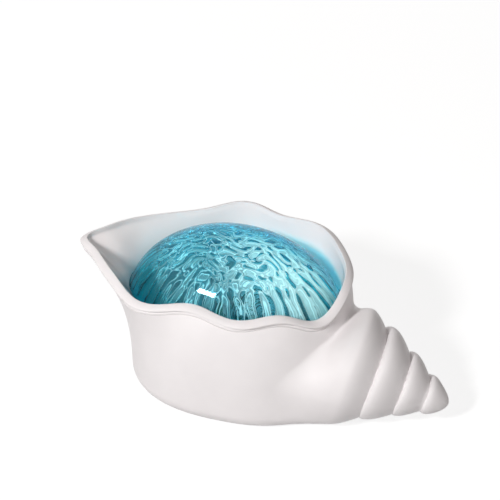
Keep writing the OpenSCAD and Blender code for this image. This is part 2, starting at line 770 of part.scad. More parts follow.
// Dome: from its crown down to the flange, then up the inside
module ripple_dome() {
  n = 60;
  low = asin((dome_seat - dome_cz) / dome_c);
  in_c = dome_c - dome_wall;
  in_low = asin((carrier_z - dome_cz) / in_c);
  function ring(a, b, z) = [for (i = [0:n - 1]) let (t = i * 360 / n)
    [dome_cx + a * cos(t), dome_cy + b * sin(t), z]];
  outside = [for (i = [1:9]) let (e = 90 + (low - 90) * i / 9)
    ring(dome_a * cos(e), dome_b * cos(e), dome_cz + dome_c * sin(e))];
  inside = [for (i = [0:8]) let (e = in_low + (90 - in_low) * i / 9)
    ring((dome_a - dome_wall) * cos(e), (dome_b - dome_wall) * cos(e), dome_cz + in_c * sin(e))];
  flange = [for (z = [dome_seat, carrier_z]) ring(seat_a + dome_flange, seat_b + dome_flange, z)];
  color([0.35, 0.75, 0.8, 0.5]) skin(
    [for (r = concat(outside, flange, inside)) [for (i = [n - 1:-1:0]) r[i]]],
    [dome_cx, dome_cy, dome_cz + dome_c], [dome_cx, dome_cy, dome_cz + in_c]);
}

module dome_oval(grow) {
  polygon([for (i = [0:71]) [(seat_a + grow) * cos(i * 5), (seat_b + grow) * sin(i * 5)]]);
}

module dome_carrier() {
  color([0.85, 0.85, 0.86]) difference() {
    translate([dome_cx, dome_cy, post_z]) linear_extrude(carrier_t) difference() {
      dome_oval(carrier_out);
      dome_oval(-carrier_w);
    }
    for (p = post_at) {
      rod(p, post_z - 1, carrier_z + 1, screw_r + hole_gap);
      rod(p, carrier_z - head_h - head_sink, carrier_z + 1, head_r + hole_gap);
    }
  }
}

// Screw pointing down from the underside of its head
module screw(at, z, r, length, hr, hh) {
  color([0.7, 0.7, 0.72]) rod(at, z, z + hh, hr);
  color([0.7, 0.7, 0.72]) rod(at, z - length, z, r);
}

module carrier_screws() {
  for (p = post_at)
    screw(p, carrier_z - head_h - head_sink, screw_r,
      bite + carrier_t - head_h - head_sink, head_r, head_h);
}

module chassis() {
  color([0.35, 0.36, 0.38]) difference() {
    union() {
      difference() {
        oval_block(hole_a + ring_land, hole_b + ring_land, ring_z, deck_z0);
        oval_block(hole_a, hole_b, ring_z - 1, deck_z0 + 1);
      }
      oval_block(deck_a, deck_b, deck_z0, deck_z);
      for (p = base_screw_at) rod(p, plug_z, deck_z0 + 0.5, boss_r);
      for (p = post_at) rod(p, deck_z - 0.5, post_z, post_r);
      for (p = board_at) rod(p, deck_z - 0.5, board_z, board_post_r);
      for (p = peg_at) rod(p, deck_z - 0.5, deck_z + foot_t, peg_r);
      for (j = [-1, 1]) rod([ear_x, j * ear_y], deck_z - 0.5, box_z, ear_r);
      rod([axle_x, 0], deck_z - 0.5, axle_top, axle_post_r);
    }
    for (p = base_screw_at) rod(p, plug_z - 1, plug_z + bite - 0.6, screw_r + thread_gap);
    for (p = post_at) rod(p, post_z - bite - 0.5, post_z + 1, screw_r + thread_gap);
    for (p = board_at) rod(p, deck_z0 + 0.6, board_z + 1, small_r + thread_gap);
    for (p = tab_at) rod(p, deck_z0 + 0.6, deck_z + 1, small_r + thread_gap);
    for (j = [-1, 1]) rod([ear_x, j * ear_y], box_z - bite - 0.5, box_z + 1, screw_r + thread_gap);
    rod([axle_x, 0], axle_top - axle_depth, axle_top + 1, axle_r + thread_gap);
  }
}

module base_plate() {
  color([0.88, 0.87, 0.86]) difference() {
    union() {
      oval_block(hole_a + flange_over, hole_b + flange_over, pad_proud, base_z - seat_gap);
      oval_block(hole_a - base_gap, hole_b - base_gap, pad_proud, plug_z);
    }
    oval_block(hole_a - pad_inset + pad_gap, hole_b - pad_inset + pad_gap, -1, pad_t);
    for (p = base_screw_at) {
      rod(p, 0, plug_z + 1, screw_r + hole_gap);
      rod(p, 0, pad_t + head_h + 0.1, head_r + hole_gap);
    }
  }
}

// Base screws point up from under the plate
module base_screws() {
  z = pad_t + head_h + 0.1;
  color([0.7, 0.7, 0.72]) for (p = base_screw_at) {
    rod(p, z - head_h, z, head_r);
    rod(p, z, plug_z + bite - 1, screw_r);
  }
}

module foot_pad() {
  color([0.25, 0.25, 0.26]) oval_block(hole_a - pad_inset, hole_b - pad_inset, 0, pad_t);
}

module drive_motor() {
  color([0.75, 0.76, 0.78]) union() {
    rod([can_x, 0], deck_z, box_z - 1, can_r);
    rod([can_x, 0], box_z - 1.5, box_z, can_r - 0.8);
    block(term_x, can_x, -term_w / 2, term_w / 2,
      deck_z + can_h / 2 - term_h / 2, deck_z + can_h / 2 + term_h / 2);
  }
}

module motor_gearbox() {
  color([0.9, 0.9, 0.88]) difference() {
    union() {
      block(shaft_x - box_end, shaft_x - box_end + box_l, -box_w / 2, box_w / 2, box_z, box_top);
      block(ear_x - ear_r, ear_x + ear_r, -ear_y, ear_y, box_z, box_z + ear_t);
      for (j = [-1, 1]) rod([ear_x, j * ear_y], box_z, box_z + ear_t, ear_r);
    }
    rod([shaft_x, 0], box_top - shaft_in - end_play, box_top + 1, shaft_r + run_gap);
    for (j = [-1, 1]) rod([ear_x, j * ear_y], box_z - 1, box_z + ear_t + 1, screw_r + hole_gap);
  }
}

module motor_screws() {
  for (j = [-1, 1]) screw([ear_x, j * ear_y], box_z + ear_t, screw_r, bite + ear_t, head_r, head_h);
}

module motor_shaft() {
  color([0.7, 0.7, 0.72]) rod([shaft_x, 0], box_top - shaft_in, pinion_z + pinion_h, shaft_r);
}

// Spur gear outline: straight-sided teeth on a root circle
module gear_2d(teeth, turn) {
  pr = gear_m * teeth / 2;
  root = pr - 1.25 * gear_m;
  tip = pr + 0.9 * gear_m;
  half = (45 * gear_m - 90 / PI * backlash) / pr;
  wide = half * 1.75;
  thin = half * 0.5;
  polygon([for (i = [0:teeth - 1]) let (a = turn + i * 360 / teeth)
    for (q = [[root, -wide], [pr, -half], [tip, -thin], [tip, thin], [pr, half], [root, wide]])
      [q[0] * cos(a + q[1]), q[0] * sin(a + q[1])]]);
}

module motor_pinion() {
  color([0.95, 0.93, 0.85]) translate([shaft_x, 0, pinion_z]) linear_extrude(pinion_h) difference() {
    gear_2d(pinion_teeth, 180);
    circle(shaft_r + thread_gap);
  }
}

module wave_gear() {
  color([0.95, 0.95, 0.93]) difference() {
    union() {
      translate([axle_x, 0, gear_z]) linear_extrude(gear_w) gear_2d(gear_teeth, 180 / gear_teeth);
      rod([axle_x, 0], hub_z, disc_z, hub_r);
      rod([axle_x, 0], disc_z - 0.5, hub_top, spigot_r);
    }
    rod([axle_x, 0], hub_z - 1, hub_top + 1, axle_r + run_gap);
  }
}

// Clear disc with ring ripples on its top
module wave_disc() {
  pitch = (disc_r - spigot_r - 3) / disc_rings;
  top = [for (i = [0:disc_rings * 4])
    [disc_r - 1 - i * pitch / 4, disc_t + disc_ripple / 2 * (1 - cos(i * 90))]];
  hole = spigot_r + thread_gap;
  color([0.7, 0.9, 0.95, 0.5]) translate([axle_x, 0, disc_z]) rotate_extrude()
    polygon(concat([[hole, 0], [disc_r, 0], [disc_r, disc_t]], top, [[hole, disc_t]]));
}

module wave_axle() {
  color([0.7, 0.7, 0.72]) rod([axle_x, 0], axle_top - axle_depth, hub_top + end_play + clip_t + 1, axle_r);
}

module axle_clip() {
  color([0.3, 0.3, 0.32]) translate([axle_x, 0, hub_top + end_play]) linear_extrude(clip_t) difference() {
    circle(clip_r);
    circle(axle_r + thread_gap);
    translate([0, -axle_r * 0.7]) square([clip_r + 1, axle_r * 1.4]);
  }
}

module led_heatsink() {
  s = sink_side / 2;
  pitch = (sink_side - fin_t) / (sink_fins - 1);
  color([0.65, 0.66, 0.68]) difference() {
    union() {
      block(led_x - s, led_x + s, -s, s, sink_z - sink_top, sink_z);
      for (i = [0:sink_fins - 1])
        block(led_x - s + i * pitch, led_x - s + i * pitch + fin_t, -s, s, deck_z, sink_z - sink_top + 0.5);
      for (i = [-1, 1])
        block(led_x - tab_l / 2, led_x + tab_l / 2, i < 0 ? -s - tab_l : s - 2, i < 0 ? 2 - s : s + tab_l,
          deck_z, deck_z + tab_t);
    }
    for (p = tab_at) rod(p, deck_z - 1, deck_z + tab_t + 1, small_r + hole_gap);
  }
}

module heatsink_screws() {
  for (p = tab_at) screw(p, deck_z + tab_t, small_r, tab_t + deck_t - 0.8, small_head_r, small_head_h);
}

module led_board() {
  s = led_side / 2;
  color([0.93, 0.93, 0.93]) block(led_x - s, led_x + s, -s, s, sink_z, led_z);
}

module led_chips() {
  color([1, 0.95, 0.6]) for (i = [-1, 1], j = [-1, 1])
    translate([led_x + i * chip_pitch / 2 - chip_side / 2, j * chip_pitch / 2 - chip_side / 2, led_z])
      cube([chip_side, chip_side, chip_h]);
}

// Lens: a skirt standing on the board with a round cap
module led_lens() {
  ball = (lens_r * lens_r + lens_cap * lens_cap) / (2 * lens_cap);
  top = lens_skirt + lens_cap;
  color([0.85, 0.92, 0.95, 0.5]) translate([led_x, 0, led_z]) difference() {
    union() {
      cylinder(r = lens_r, h = lens_skirt);
      intersection() {
        translate([0, 0, top - ball]) sphere(r = ball);
        translate([0, 0, lens_skirt - 0.5]) cylinder(r = lens_r, h = lens_cap + 1);
      }
    }
    translate([0, 0, -1]) cylinder(r = lens_r - lens_wall, h = lens_skirt);
  }
}

module main_board() {
  color([0.1, 0.4, 0.25]) difference() {
    union() {
      block(board_x - board_l / 2, board_x + board_l / 2, board_y0, board_y1, board_z, board_top);
      block(inlet_x - usb_w / 2 - 1, inlet_x + usb_w / 2 + 1,
        board_y1 - 1, board_y1 + tongue_l, board_z, board_top);
    }
    for (p = board_at) rod(p, board_z - 1, board_top + 1, small_r + hole_gap);
  }
}

module board_screws() {
  for (p = board_at)
    screw(p, board_top, small_r, pcb_t + board_post_h + deck_t - 0.8, small_head_r, small_head_h);
}

module driver_chips() {
  color([0.12, 0.12, 0.13]) {
    block(board_x - chip_l / 2, board_x + chip_l / 2,
      chip_y, chip_y + chip_w, board_top, board_top + chip_t);
    block(button_x - switch_w / 2, button_x - switch_w / 2 + 0.6 * chip_l, chip_y, chip_y + 0.8 * chip_w,
      board_top, board_top + 0.85 * chip_t);
  }
}

// Flat-sided slot with round ends, lying along Y
module slot_y(x, z, y0, y1, w, h) {
  translate([x, y1, z]) rotate([90, 0, 0]) linear_extrude(y1 - y0) union() {
    square([w - h, h], center = true);
    for (i = [-1, 1]) translate([i * (w - h) / 2, 0]) circle(h / 2);
  }
}

module usb_socket() {
  z = board_top + usb_h / 2;
  y1 = panel_face - 0.2;
  color([0.75, 0.75, 0.77]) difference() {
    slot_y(inlet_x, z, y1 - usb_l, y1, usb_w, usb_h);
    slot_y(inlet_x, z, y1 - usb_mouth, y1 + 1, usb_w - 2 * usb_wall, usb_h - 2 * usb_wall);
  }
}

module usb_tongue() {
  z = board_top + usb_h / 2;
  y = panel_face - 0.2 - usb_mouth;
  color([0.1, 0.1, 0.1]) block(inlet_x - 3.3, inlet_x + 3.3, y, y + usb_mouth - 1.2, z - 0.35, z + 0.35);
}

module button_switch() {
  color([0.15, 0.15, 0.16]) union() {
    block(button_x - switch_w / 2, button_x + switch_w / 2,
      switch_y - switch_d, switch_y, board_top, board_top + switch_h);
    rod_y(button_x, button_z, switch_y - 0.5, plunger_y, 1.3);
  }
}

module power_button() {
  color([0.92, 0.92, 0.92]) union() {
    rod_y(button_x, button_z, button_y - 0.1, panel_face + btn_out, btn_r);
    rod_y(button_x, button_z, button_y - btn_flange_t, button_y, btn_flange_r);
    rod_y(button_x, button_z, nub_y, button_y - btn_flange_t + 0.1, 1.8);
  }
}

module rear_panel() {
  z0 = win_z - win_h / 2;
  z1 = win_z + win_h / 2;
  color([0.9, 0.89, 0.88]) difference() {
    union() {
      block(waist_cx - win_w / 2 - panel_over, waist_cx + win_w / 2 + panel_over, panel_y0, panel_y1,
        deck_z, z1 + panel_over);
      block(waist_cx - win_w / 2 + win_gap, waist_cx + win_w / 2 - win_gap, panel_y1 - 0.5, panel_face,
        z0 + win_gap, z1 - win_gap);
      block(waist_cx - foot_w / 2, waist_cx + foot_w / 2, panel_y0 - foot_l, panel_y0 + 0.5,
        deck_z, deck_z + foot_t);
    }
    rod_y(button_x, button_z, panel_y0 - 1, panel_face + 1, btn_r + run_gap);
    slot_y(inlet_x, board_top + usb_h / 2, panel_y0 - 1, panel_face + 1,
      usb_w + 2 * usb_gap, usb_h + 2 * usb_gap);
    for (p = peg_at) rod(p, deck_z - 1, deck_z + foot_t + 1, peg_r + hole_gap);
  }
}

module header(x) {
  color([0.95, 0.94, 0.9])
    block(x - header_l / 2, x + header_l / 2,
      board_y0, board_y0 + header_w, board_top, board_top + header_h);
}

module motor_header() {
  header(motor_head_x);
}

module led_header() {
  header(led_head_x);
}

// Wire along hand-chosen points, square to what it meets at both ends
function side_of(d) = abs(d[2]) > 0.9 ? unit(cross(d, [1, 0, 0])) : unit(cross(d, [0, 0, 1]));
module wire(path, r) {
  n = len(path);
  dirs = [for (i = [0:n - 1])
    unit(path[min(i + 1, n - 1)] - path[max(i - 1, 0)])];
  rows = [for (i = [0:n - 1]) let (d = dirs[i], a = side_of(d), b = cross(d, a))
    [for (k = [0:7]) path[i] + r * (cos(k * 45) * a + sin(k * 45) * b)]];
  skin(rows, path[0], path[n - 1]);
}

module motor_leads() {
  z = board_top + header_h / 2;
  zc = deck_z + can_h / 2;
  y = term_w / 3;
  for (i = [-1, 1]) color(i < 0 ? [0.1, 0.1, 0.1] : [0.7, 0.1, 0.1]) let (w = i * wire_gap / 2)
    wire([[motor_head_x, board_y0, z + w], [motor_head_x, board_y0 - 0.4 * header_w, z + w],
      [motor_head_x + 0.2 * header_l, board_y0 - header_w, z + w],
      [axle_x - axle_post_r / 2, axle_post_r * 2.5, (z + zc) / 2 + w],
      [axle_x + axle_post_r, axle_post_r * 1.75, zc + w],
      [term_x - 0.3 * can_r, 1.4 * y, zc + w], [term_x - 0.15 * can_r, y, zc + w], [term_x, y, zc + w]],
      wire_r);
}

module led_leads() {
  z = board_top + header_h / 2;
  for (i = [-1, 1]) color(i < 0 ? [0.1, 0.1, 0.1] : [0.9, 0.9, 0.9]) let (x = led_head_x + i * wire_gap / 2)
    wire([[x, board_y0, z], [x, board_y0 - 1.5, z], [x, sink_side / 2 + 3, z + 2],
      [x, sink_side / 2 + 1.4, sink_z], [x, led_side / 2, led_z + 2], [x, led_side / 2 - 1, led_z + 1.4],
      [x, led_side / 2 - 1.2, led_z + 0.8], [x, led_side / 2 - 1.2, led_z]], wire_r);
}

outer_shell();
lip_liner();
ripple_dome();
dome_carrier();
carrier_screws();
chassis();
base_plate();
base_screws();
foot_pad();
drive_motor();
motor_gearbox();
motor_screws();
motor_shaft();
motor_pinion();
wave_gear();
wave_disc();
wave_axle();
axle_clip();
led_heatsink();
heatsink_screws();
led_board();
led_chips();
led_lens();
main_board();
board_screws();
driver_chips();
usb_socket();
usb_tongue();
button_switch();
power_button();
rear_panel();
motor_header();
led_header();
motor_leads();
led_leads();
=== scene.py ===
import json
import math
import bpy
import numpy as np
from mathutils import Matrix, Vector

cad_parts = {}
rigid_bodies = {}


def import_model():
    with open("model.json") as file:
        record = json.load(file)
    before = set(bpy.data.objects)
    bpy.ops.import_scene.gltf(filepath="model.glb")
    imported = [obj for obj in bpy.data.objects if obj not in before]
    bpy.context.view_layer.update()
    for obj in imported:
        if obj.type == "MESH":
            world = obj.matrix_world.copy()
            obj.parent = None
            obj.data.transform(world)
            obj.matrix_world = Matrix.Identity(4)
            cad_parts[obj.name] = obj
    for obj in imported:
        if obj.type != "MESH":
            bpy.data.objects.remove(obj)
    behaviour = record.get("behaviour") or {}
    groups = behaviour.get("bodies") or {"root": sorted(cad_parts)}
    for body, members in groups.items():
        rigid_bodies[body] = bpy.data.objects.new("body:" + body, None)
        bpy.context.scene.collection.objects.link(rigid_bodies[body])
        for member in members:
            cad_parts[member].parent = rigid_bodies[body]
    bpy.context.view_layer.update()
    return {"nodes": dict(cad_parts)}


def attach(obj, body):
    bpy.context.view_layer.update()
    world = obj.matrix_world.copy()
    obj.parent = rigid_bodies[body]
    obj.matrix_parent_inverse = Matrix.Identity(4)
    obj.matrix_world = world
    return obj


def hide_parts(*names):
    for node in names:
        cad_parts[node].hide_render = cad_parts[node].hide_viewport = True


# Sea-shell wave projector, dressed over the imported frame; shapes are worked out in mm
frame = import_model()
nodes = frame["nodes"]
scene = bpy.context.scene
print("frame loaded:", len(nodes), "nodes")

mm = 0.001  # Blender works in metres


# meshes from whole arrays

def gridFaces(rows, cols, closeRows=False, closeCols=True):
    # quads of a rows by cols grid of points, wrapped round where asked
    i = np.arange(rows if closeRows else rows - 1)
    j = np.arange(cols if closeCols else cols - 1)
    a, b = np.meshgrid(i, j, indexing="ij")
    a2, b2 = (a + 1) % rows, (b + 1) % cols
    quads = np.stack([a * cols + b, a2 * cols + b, a2 * cols + b2, a * cols + b2], -1)
    return quads.reshape(-1, 4)


def meshFrom(name, points, quads, tris=None, smooth=True, sharp=None):
    # fills a mesh with foreach_set: quads first, then the triangles of any pole
    mesh = bpy.data.meshes.new(name)
    tris = np.zeros((0, 3), int) if tris is None else tris
    loops = np.concatenate([quads.ravel(), tris.ravel()]).astype(np.int32)
    sizes = np.concatenate([np.full(len(quads), 4), np.full(len(tris), 3)]).astype(np.int32)
    starts = np.concatenate([[0], np.cumsum(sizes)[:-1]]).astype(np.int32)
    mesh.vertices.add(len(points))
    mesh.vertices.foreach_set("co", np.asarray(points, np.float32).ravel() * mm)
    mesh.loops.add(len(loops))
    mesh.loops.foreach_set("vertex_index", loops)
    mesh.polygons.add(len(sizes))
    mesh.polygons.foreach_set("loop_start", starts)
    mesh.polygons.foreach_set("use_smooth", np.full(len(sizes), smooth))
    mesh.update(calc_edges=True)
    if sharp is not None:
        mesh.set_sharp_from_angle(angle=math.radians(sharp))
    obj = bpy.data.objects.new(name, mesh)
    scene.collection.objects.link(obj)
    return obj


def closedSkin(name, rows, first, last, flip=False, sharp=None):
    # rings of points in order, shut by a pole at each end
    n, m = rows.shape[:2]
    points = np.concatenate([rows.reshape(-1, 3), [first], [last]])
    quads = gridFaces(n, m)
    k = np.arange(m)
    k2 = (k + 1) % m
    top = np.stack([np.full(m, n * m), k, k2], -1)
    low = np.stack([np.full(m, n * m + 1), (n - 1) * m + k2, (n - 1) * m + k], -1)
    tris = np.concatenate([top, low])
    if flip:
        quads, tris = quads[:, ::-1], tris[:, ::-1]
    return meshFrom(name, points, quads, tris, sharp=sharp)


def cutAway(obj, cutters, sharp):
    # takes the cutters out of a closed mesh and keeps the result as plain mesh
    for cutter in cutters:
        mod = obj.modifiers.new("cut", "BOOLEAN")
        mod.operation = "DIFFERENCE"
        mod.solver = "MANIFOLD"
        mod.object = cutter
    done = bpy.data.meshes.new_from_object(obj.evaluated_get(bpy.context.evaluated_depsgraph_get()))
    obj.modifiers.clear()
    old = obj.data
    obj.data = done
    done.name = old.name
    bpy.data.meshes.remove(old)
    for cutter in cutters:
        mesh = cutter.data
        bpy.data.objects.remove(cutter)
        bpy.data.meshes.remove(mesh)
    done.polygons.foreach_set("use_smooth", np.ones(len(done.polygons), bool))
    done.set_sharp_from_angle(angle=math.radians(sharp))


# the shell's outline: an oval waist flaring to a waved lip, and a whorled spire

lip = dict(
    cx=-15.5, a=66.0, b=41.0, n=2.1,  # oval of the rim
    level=73.6, tilt=0.06,  # height, and rise towards the rear
    wide=4.2, high=3.3, neck=2.5, seamIn=1.2)  # section of the band
lipWaves = dict(  # direction in degrees, reach, lift, spread in degrees
    spout=(188, 8, 5, 24), point=(184.5, 6.5, -0.5, 6.5), rear=(93, 6, 5, 26),
    corner=(44, 6.5, 2.7, 20), dip=(-22, 1.6, -10, 14), front=(-67, 4, -4.4, 24),
    left=(-132, 8, -4, 19))
waist = dict(
    cx=-8.0, a=59.0, b=49.0, n=2.35,  # oval of the waist
    base=1.2, footIn=8.0, footHigh=9.5,  # rounded foot
    flare=4.1, spoutEase=1.1, spoutWide=36,  # how late the wall opens, sooner under the spout
    overrun=1.06, headroom=9)  # how far the wall goes on past the seam
spire = dict(
    x=67.0, y=-12.0, z=24.8, slope=14.0, long=41.6,  # axis
    r=23.5, taper=0.445, curl=0.0022, roundFrom=28.5, tipFull=1.9, tipRound=0.6,  # core and tip
    startAt=9.5, startSoft=30,  # where the taper sets in
    out=3.5, outFall=0.05, outTop=0.5, skew=0.7, swellFull=0.8,  # how the whorls stand out
    pitch=17.3, tighten=0.007, lean=0.39, phase=0.185,  # how they wind
    grooveFrom=-18, grooveOver=9,  # where the grooves set in
    blendTop=4.0, blendLow=24.0, blendFrom=26, blendOver=30,  # how it flows into the bowl
    fadeFrom=-10, fadeSide=60.0, fadeTop=44.0, rootAt=-60)  # how it ends inside the bowl
skin = dict(
    start=(-40, -1, 34), bend=(30, -6, 36), tipShort=7,  # curve that the rays leave from
    fanLeft=(-88, -1.5), fanTip=(5, 86),  # degrees at its two ends
    leftPart=5, leftLeast=12, tipPart=12, tipLeast=8,  # rings in the fans
    crowd=0.74, reach=118.0, halvings=24)
shellCut = dict(
    wall=2.2, rebate=0.6, liner=1.4, linerGap=0.3,
    holeIn=14.0, holeSpan=(-5.0, 8.0),  # opening under the base
    winWide=26.0, winHigh=12.0, winLevel=19.02, winCorner=0.8, winDeep=9,  # window of the rear panel
    stepIn=9, stepOut=3, stepFlare=0.4, stepRise=6, stepSink=8, stepTop=110.0,  # cut above the seam
    roomDown=0.6, roomUp=3.0, roomSink=4, roomTurn=0.4, roomRows=13,  # room for the liner
    rings=300, sides=220, innerRings=90, innerSides=100, cutSides=720, sharp=32)
linerForm = dict(
    sitGap=0.02, funnelBend=(0.25, 0.45), faceIn=0.7, faceDown=0.9, faceBend=(0.34, 0.45),
    neckAt=((-0.4, 0.0), (0.0, 0.2), (-0.05, 0.5), (-0.55, 0.75)),  # mm out, share of the neck up
    bandAt=((0.3, 0.0, 1.0), (0.0, 0.0, 0.85), (0.0, 0.03, 0.66), (0.0, 0.36, 0.3), (0.0, 0.7, 0.08),
            (0.0, 0.92, 0.0), (0.0, 1.0, 0.14), (0.2, 1.0, 0.4)),  # mm in, shares across and down
    faceRows=8, backFrom=0.86, backRows=6, around=640, perSpan=4, glossFrom=10, sharp=50)
dome = dict(
    cx=-11.4, cy=-1.0, cz=41.0, a=59.5, b=39.5, c=50.0,  # ellipsoid
    wall=2.0, seat=54.0, flange=1.8, flangeThick=2.0, gap=0.5, sharp=60)


def wrapDeg(d):
    # the same direction between -180 and 180 degrees
    return (d + 180) % 360 - 180


def bump(th, at, spread):
    # bell curve round a direction
    return np.exp(-(wrapDeg(th - at) / spread) ** 2)


def ease(x):
    # smooth step from 0 to 1
    c = np.clip(x, 0, 1)
    return c * c * (3 - 2 * c)


def ovalR(th, a, b, n):
    # radius of a superellipse in the direction th
    t = np.radians(th)
    return (np.abs(np.cos(t) / a) ** n + np.abs(np.sin(t) / b) ** n) ** (-1 / n)


def lipR(th):
    # reach of the rim: its oval plus the reach of every wave
    waves = sum(w[1] * bump(th, w[0], w[3]) for w in lipWaves.values())
    return ovalR(th, lip["a"], lip["b"], lip["n"]) + waves


def lipZ(th):
    # height of the rim: a plane tilted to the rear plus the lift of every wave
    return (lip["level"] + lip["tilt"] * lipR(th) * np.sin(np.radians(th))
            + sum(w[2] * bump(th, w[0], w[3]) for w in lipWaves.values()))


def seamZ(th):
    # the seam runs under the band by its height and its neck
    return lipZ(th) - lip["high"] - lip["neck"]


def waistR(th):
    # the waist oval seen from the lip's centre, closed in on in a few steps
    t = np.radians(th)
    a, b, n = waist["a"], waist["b"], waist["n"]
    r = ovalR(th, a, b, n)
    for _ in range(6):
        x, y = r * np.cos(t) + lip["cx"] - waist["cx"], r * np.sin(t)
        r = r / (np.abs(x / a) ** n + np.abs(y / b) ** n) ** (1 / n)
    return r


rimTh = np.linspace(-180, 180, 1441)  # every quarter of a degree
rimTable = np.stack([
    waistR(rimTh), lipR(rimTh) - lip["seamIn"], seamZ(rimTh),
    waist["flare"] - waist["spoutEase"] * bump(rimTh, lipWaves["spout"][0], waist["spoutWide"])])


def spireR(t, ph):
    # radius at t along the spire and ph round it: a tapering core with whorls that stand out between grooves
    f = ph % 360
    cosF = np.cos(np.radians(f))
    turn = t / spire["pitch"] * (1 + spire["tighten"] * t) - f / 360 - spire["lean"] * cosF / 2 + spire["phase"]
    swell = np.clip(np.sin(np.pi * (turn % 1) ** spire["skew"]), 0, 1) ** spire["swellFull"]
    u = (t - spire["startAt"] + np.sqrt((t + spire["startAt"]) ** 2 + spire["startSoft"])) / 2
    v = np.minimum(u, spire["roundFrom"])
    core = spire["r"] - spire["taper"] * v - spire["curl"] * v * v
    c = np.clip((t - spire["roundFrom"]) / (spire["long"] - spire["roundFrom"]), 0, 1)
    out = (spire["out"] - spire["outFall"] * u) * (1 + spire["outTop"] * cosF) * (1 - c)
    groove = ease((t - spire["grooveFrom"]) / spire["grooveOver"]) * (1 - swell)
    return (core + out * (1 - groove)) * (1 - c ** spire["tipFull"]) ** spire["tipRound"]


def shellField(p):
    # below 0 inside the shell and above 0 outside: the bowl and the spire, blended more softly low down
    x, y, z = p[..., 0] - lip["cx"], p[..., 1], p[..., 2]
    th = np.degrees(np.arctan2(y, x))
    low, high, level, power = (np.interp(th, rimTh, row) for row in rimTable)
    q = np.clip((z - waist["base"]) / (level - waist["base"]), 0, waist["overrun"])
    k = np.clip(1 - (z - waist["base"]) / waist["footHigh"], 0, 1)
    bowl = np.hypot(x, y) - low - (high - low) * q ** power + waist["footIn"] * (1 - np.sqrt(1 - k * k))
    s = math.radians(spire["slope"])
    dx, dz = p[..., 0] - spire["x"], z - spire["z"]
    t = dx * math.cos(s) - dz * math.sin(s)
    a, b = dx * math.sin(s) + dz * math.cos(s), spire["y"] - y
    far = np.hypot(a, b)
    ph = np.degrees(np.arctan2(b, a))
    onTop = np.maximum(np.cos(np.radians(ph)), 0)
    fade = np.minimum(t - spire["fadeFrom"], 0) ** 2 / (spire["fadeSide"] - spire["fadeTop"] * onTop)
    side = far - spireR(np.clip(t, spire["rootAt"], spire["long"]), ph) + fade
    cone = np.where(t > spire["long"], np.hypot(far, t - spire["long"]), side)
    rise = ease((z - spire["blendFrom"]) / spire["blendOver"])
    g = spire["blendLow"] + (spire["blendTop"] - spire["blendLow"]) * rise
    h = np.clip(0.5 + 0.5 * (cone - bowl) / g, 0, 1)
    f = cone * (1 - h) + bowl * h - g * h * (1 - h)
    return np.maximum(np.maximum(f, waist["base"] - z), z - level - waist["headroom"])


def shellSkin(name, rings, sides, wall):
    # rays from a curve along the body and down the spire, each followed to the surface set in by the wall
    s = math.radians(spire["slope"])
    run = spire["long"] - skin["tipShort"]
    ends = np.array([
        (waist["cx"] + skin["start"][0], *skin["start"][1:]), skin["bend"],
        (spire["x"] + run * math.cos(s), spire["y"], spire["z"] - run * math.sin(s))])
    fanLeft = np.linspace(*skin["fanLeft"], max(rings // skin["leftPart"], skin["leftLeast"]))
    fanTip = np.linspace(*skin["fanTip"], max(rings // skin["tipPart"], skin["tipLeast"]))
    along = np.linspace(0, 1, rings) ** skin["crowd"]
    k = np.concatenate([np.zeros(len(fanLeft)), along, np.ones(len(fanTip))])[:, None]
    tilt = np.radians(np.concatenate([fanLeft, np.zeros(rings), fanTip]))[:, None, None]
    o = (1 - k) ** 2 * ends[0] + 2 * k * (1 - k) * ends[1] + k * k * ends[2]
    d = (1 - k) * (ends[1] - ends[0]) + k * (ends[2] - ends[1])
    d /= np.linalg.norm(d, axis=1, keepdims=True)
    n = np.array([0, 0, 1.0]) - d * d[:, 2:]
    n /= np.linalg.norm(n, axis=1, keepdims=True)
    b = np.cross(d, n)
    f = np.linspace(0, 2 * np.pi, sides, endpoint=False)[None, :, None]
    ray = np.sin(tilt) * d[:, None] + np.cos(tilt) * (np.cos(f) * n[:, None] + np.sin(f) * b[:, None])
    o = np.broadcast_to(o[:, None], ray.shape)
    poleRay = np.stack([-d[0], d[-1]])[:, None]
    poleFrom = np.stack([o[0, 0], o[-1, 0]])[:, None]

    def follow(start, way):
        # halves the stretch that holds the surface again and again
        lo, hi = np.zeros(way.shape[:-1]), np.full(way.shape[:-1], skin["reach"])
        for _ in range(skin["halvings"]):
            mid = (lo + hi) / 2
            inside = shellField(start + way * mid[..., None]) + wall < 0
            lo, hi = np.where(inside, mid, lo), np.where(inside, hi, mid)
        return start + way * ((lo + hi) / 2)[..., None]

    poles = follow(poleFrom, poleRay)[:, 0]
    return closedSkin(name, follow(o, ray), poles[0], poles[1], flip=True)


def domeEdgeR(th, grow):
    # the dome's edge oval seen from the lip's centre
    k = math.sqrt(1 - ((dome["seat"] - dome["cz"]) / dome["c"]) ** 2)
    a, b = dome["a"] * k + grow, dome["b"] * k + grow
    c, s = np.cos(np.radians(th)) / a, np.sin(np.radians(th)) / b
    dx, dy = (lip["cx"] - dome["cx"]) / a, -dome["cy"] / b
    p, q, w = c * c + s * s, dx * c + dy * s, dx * dx + dy * dy - 1
    return (-q + np.sqrt(q * q - p * w)) / p


def bowed(top, foot, bendAt, share):
    # quadratic curve from top to foot, drawn towards a point at these shares of the way up
    bend = foot + (top - foot) * np.array(bendAt)
    return (1 - share) ** 2 * top + 2 * share * (1 - share) * bend + share ** 2 * foot


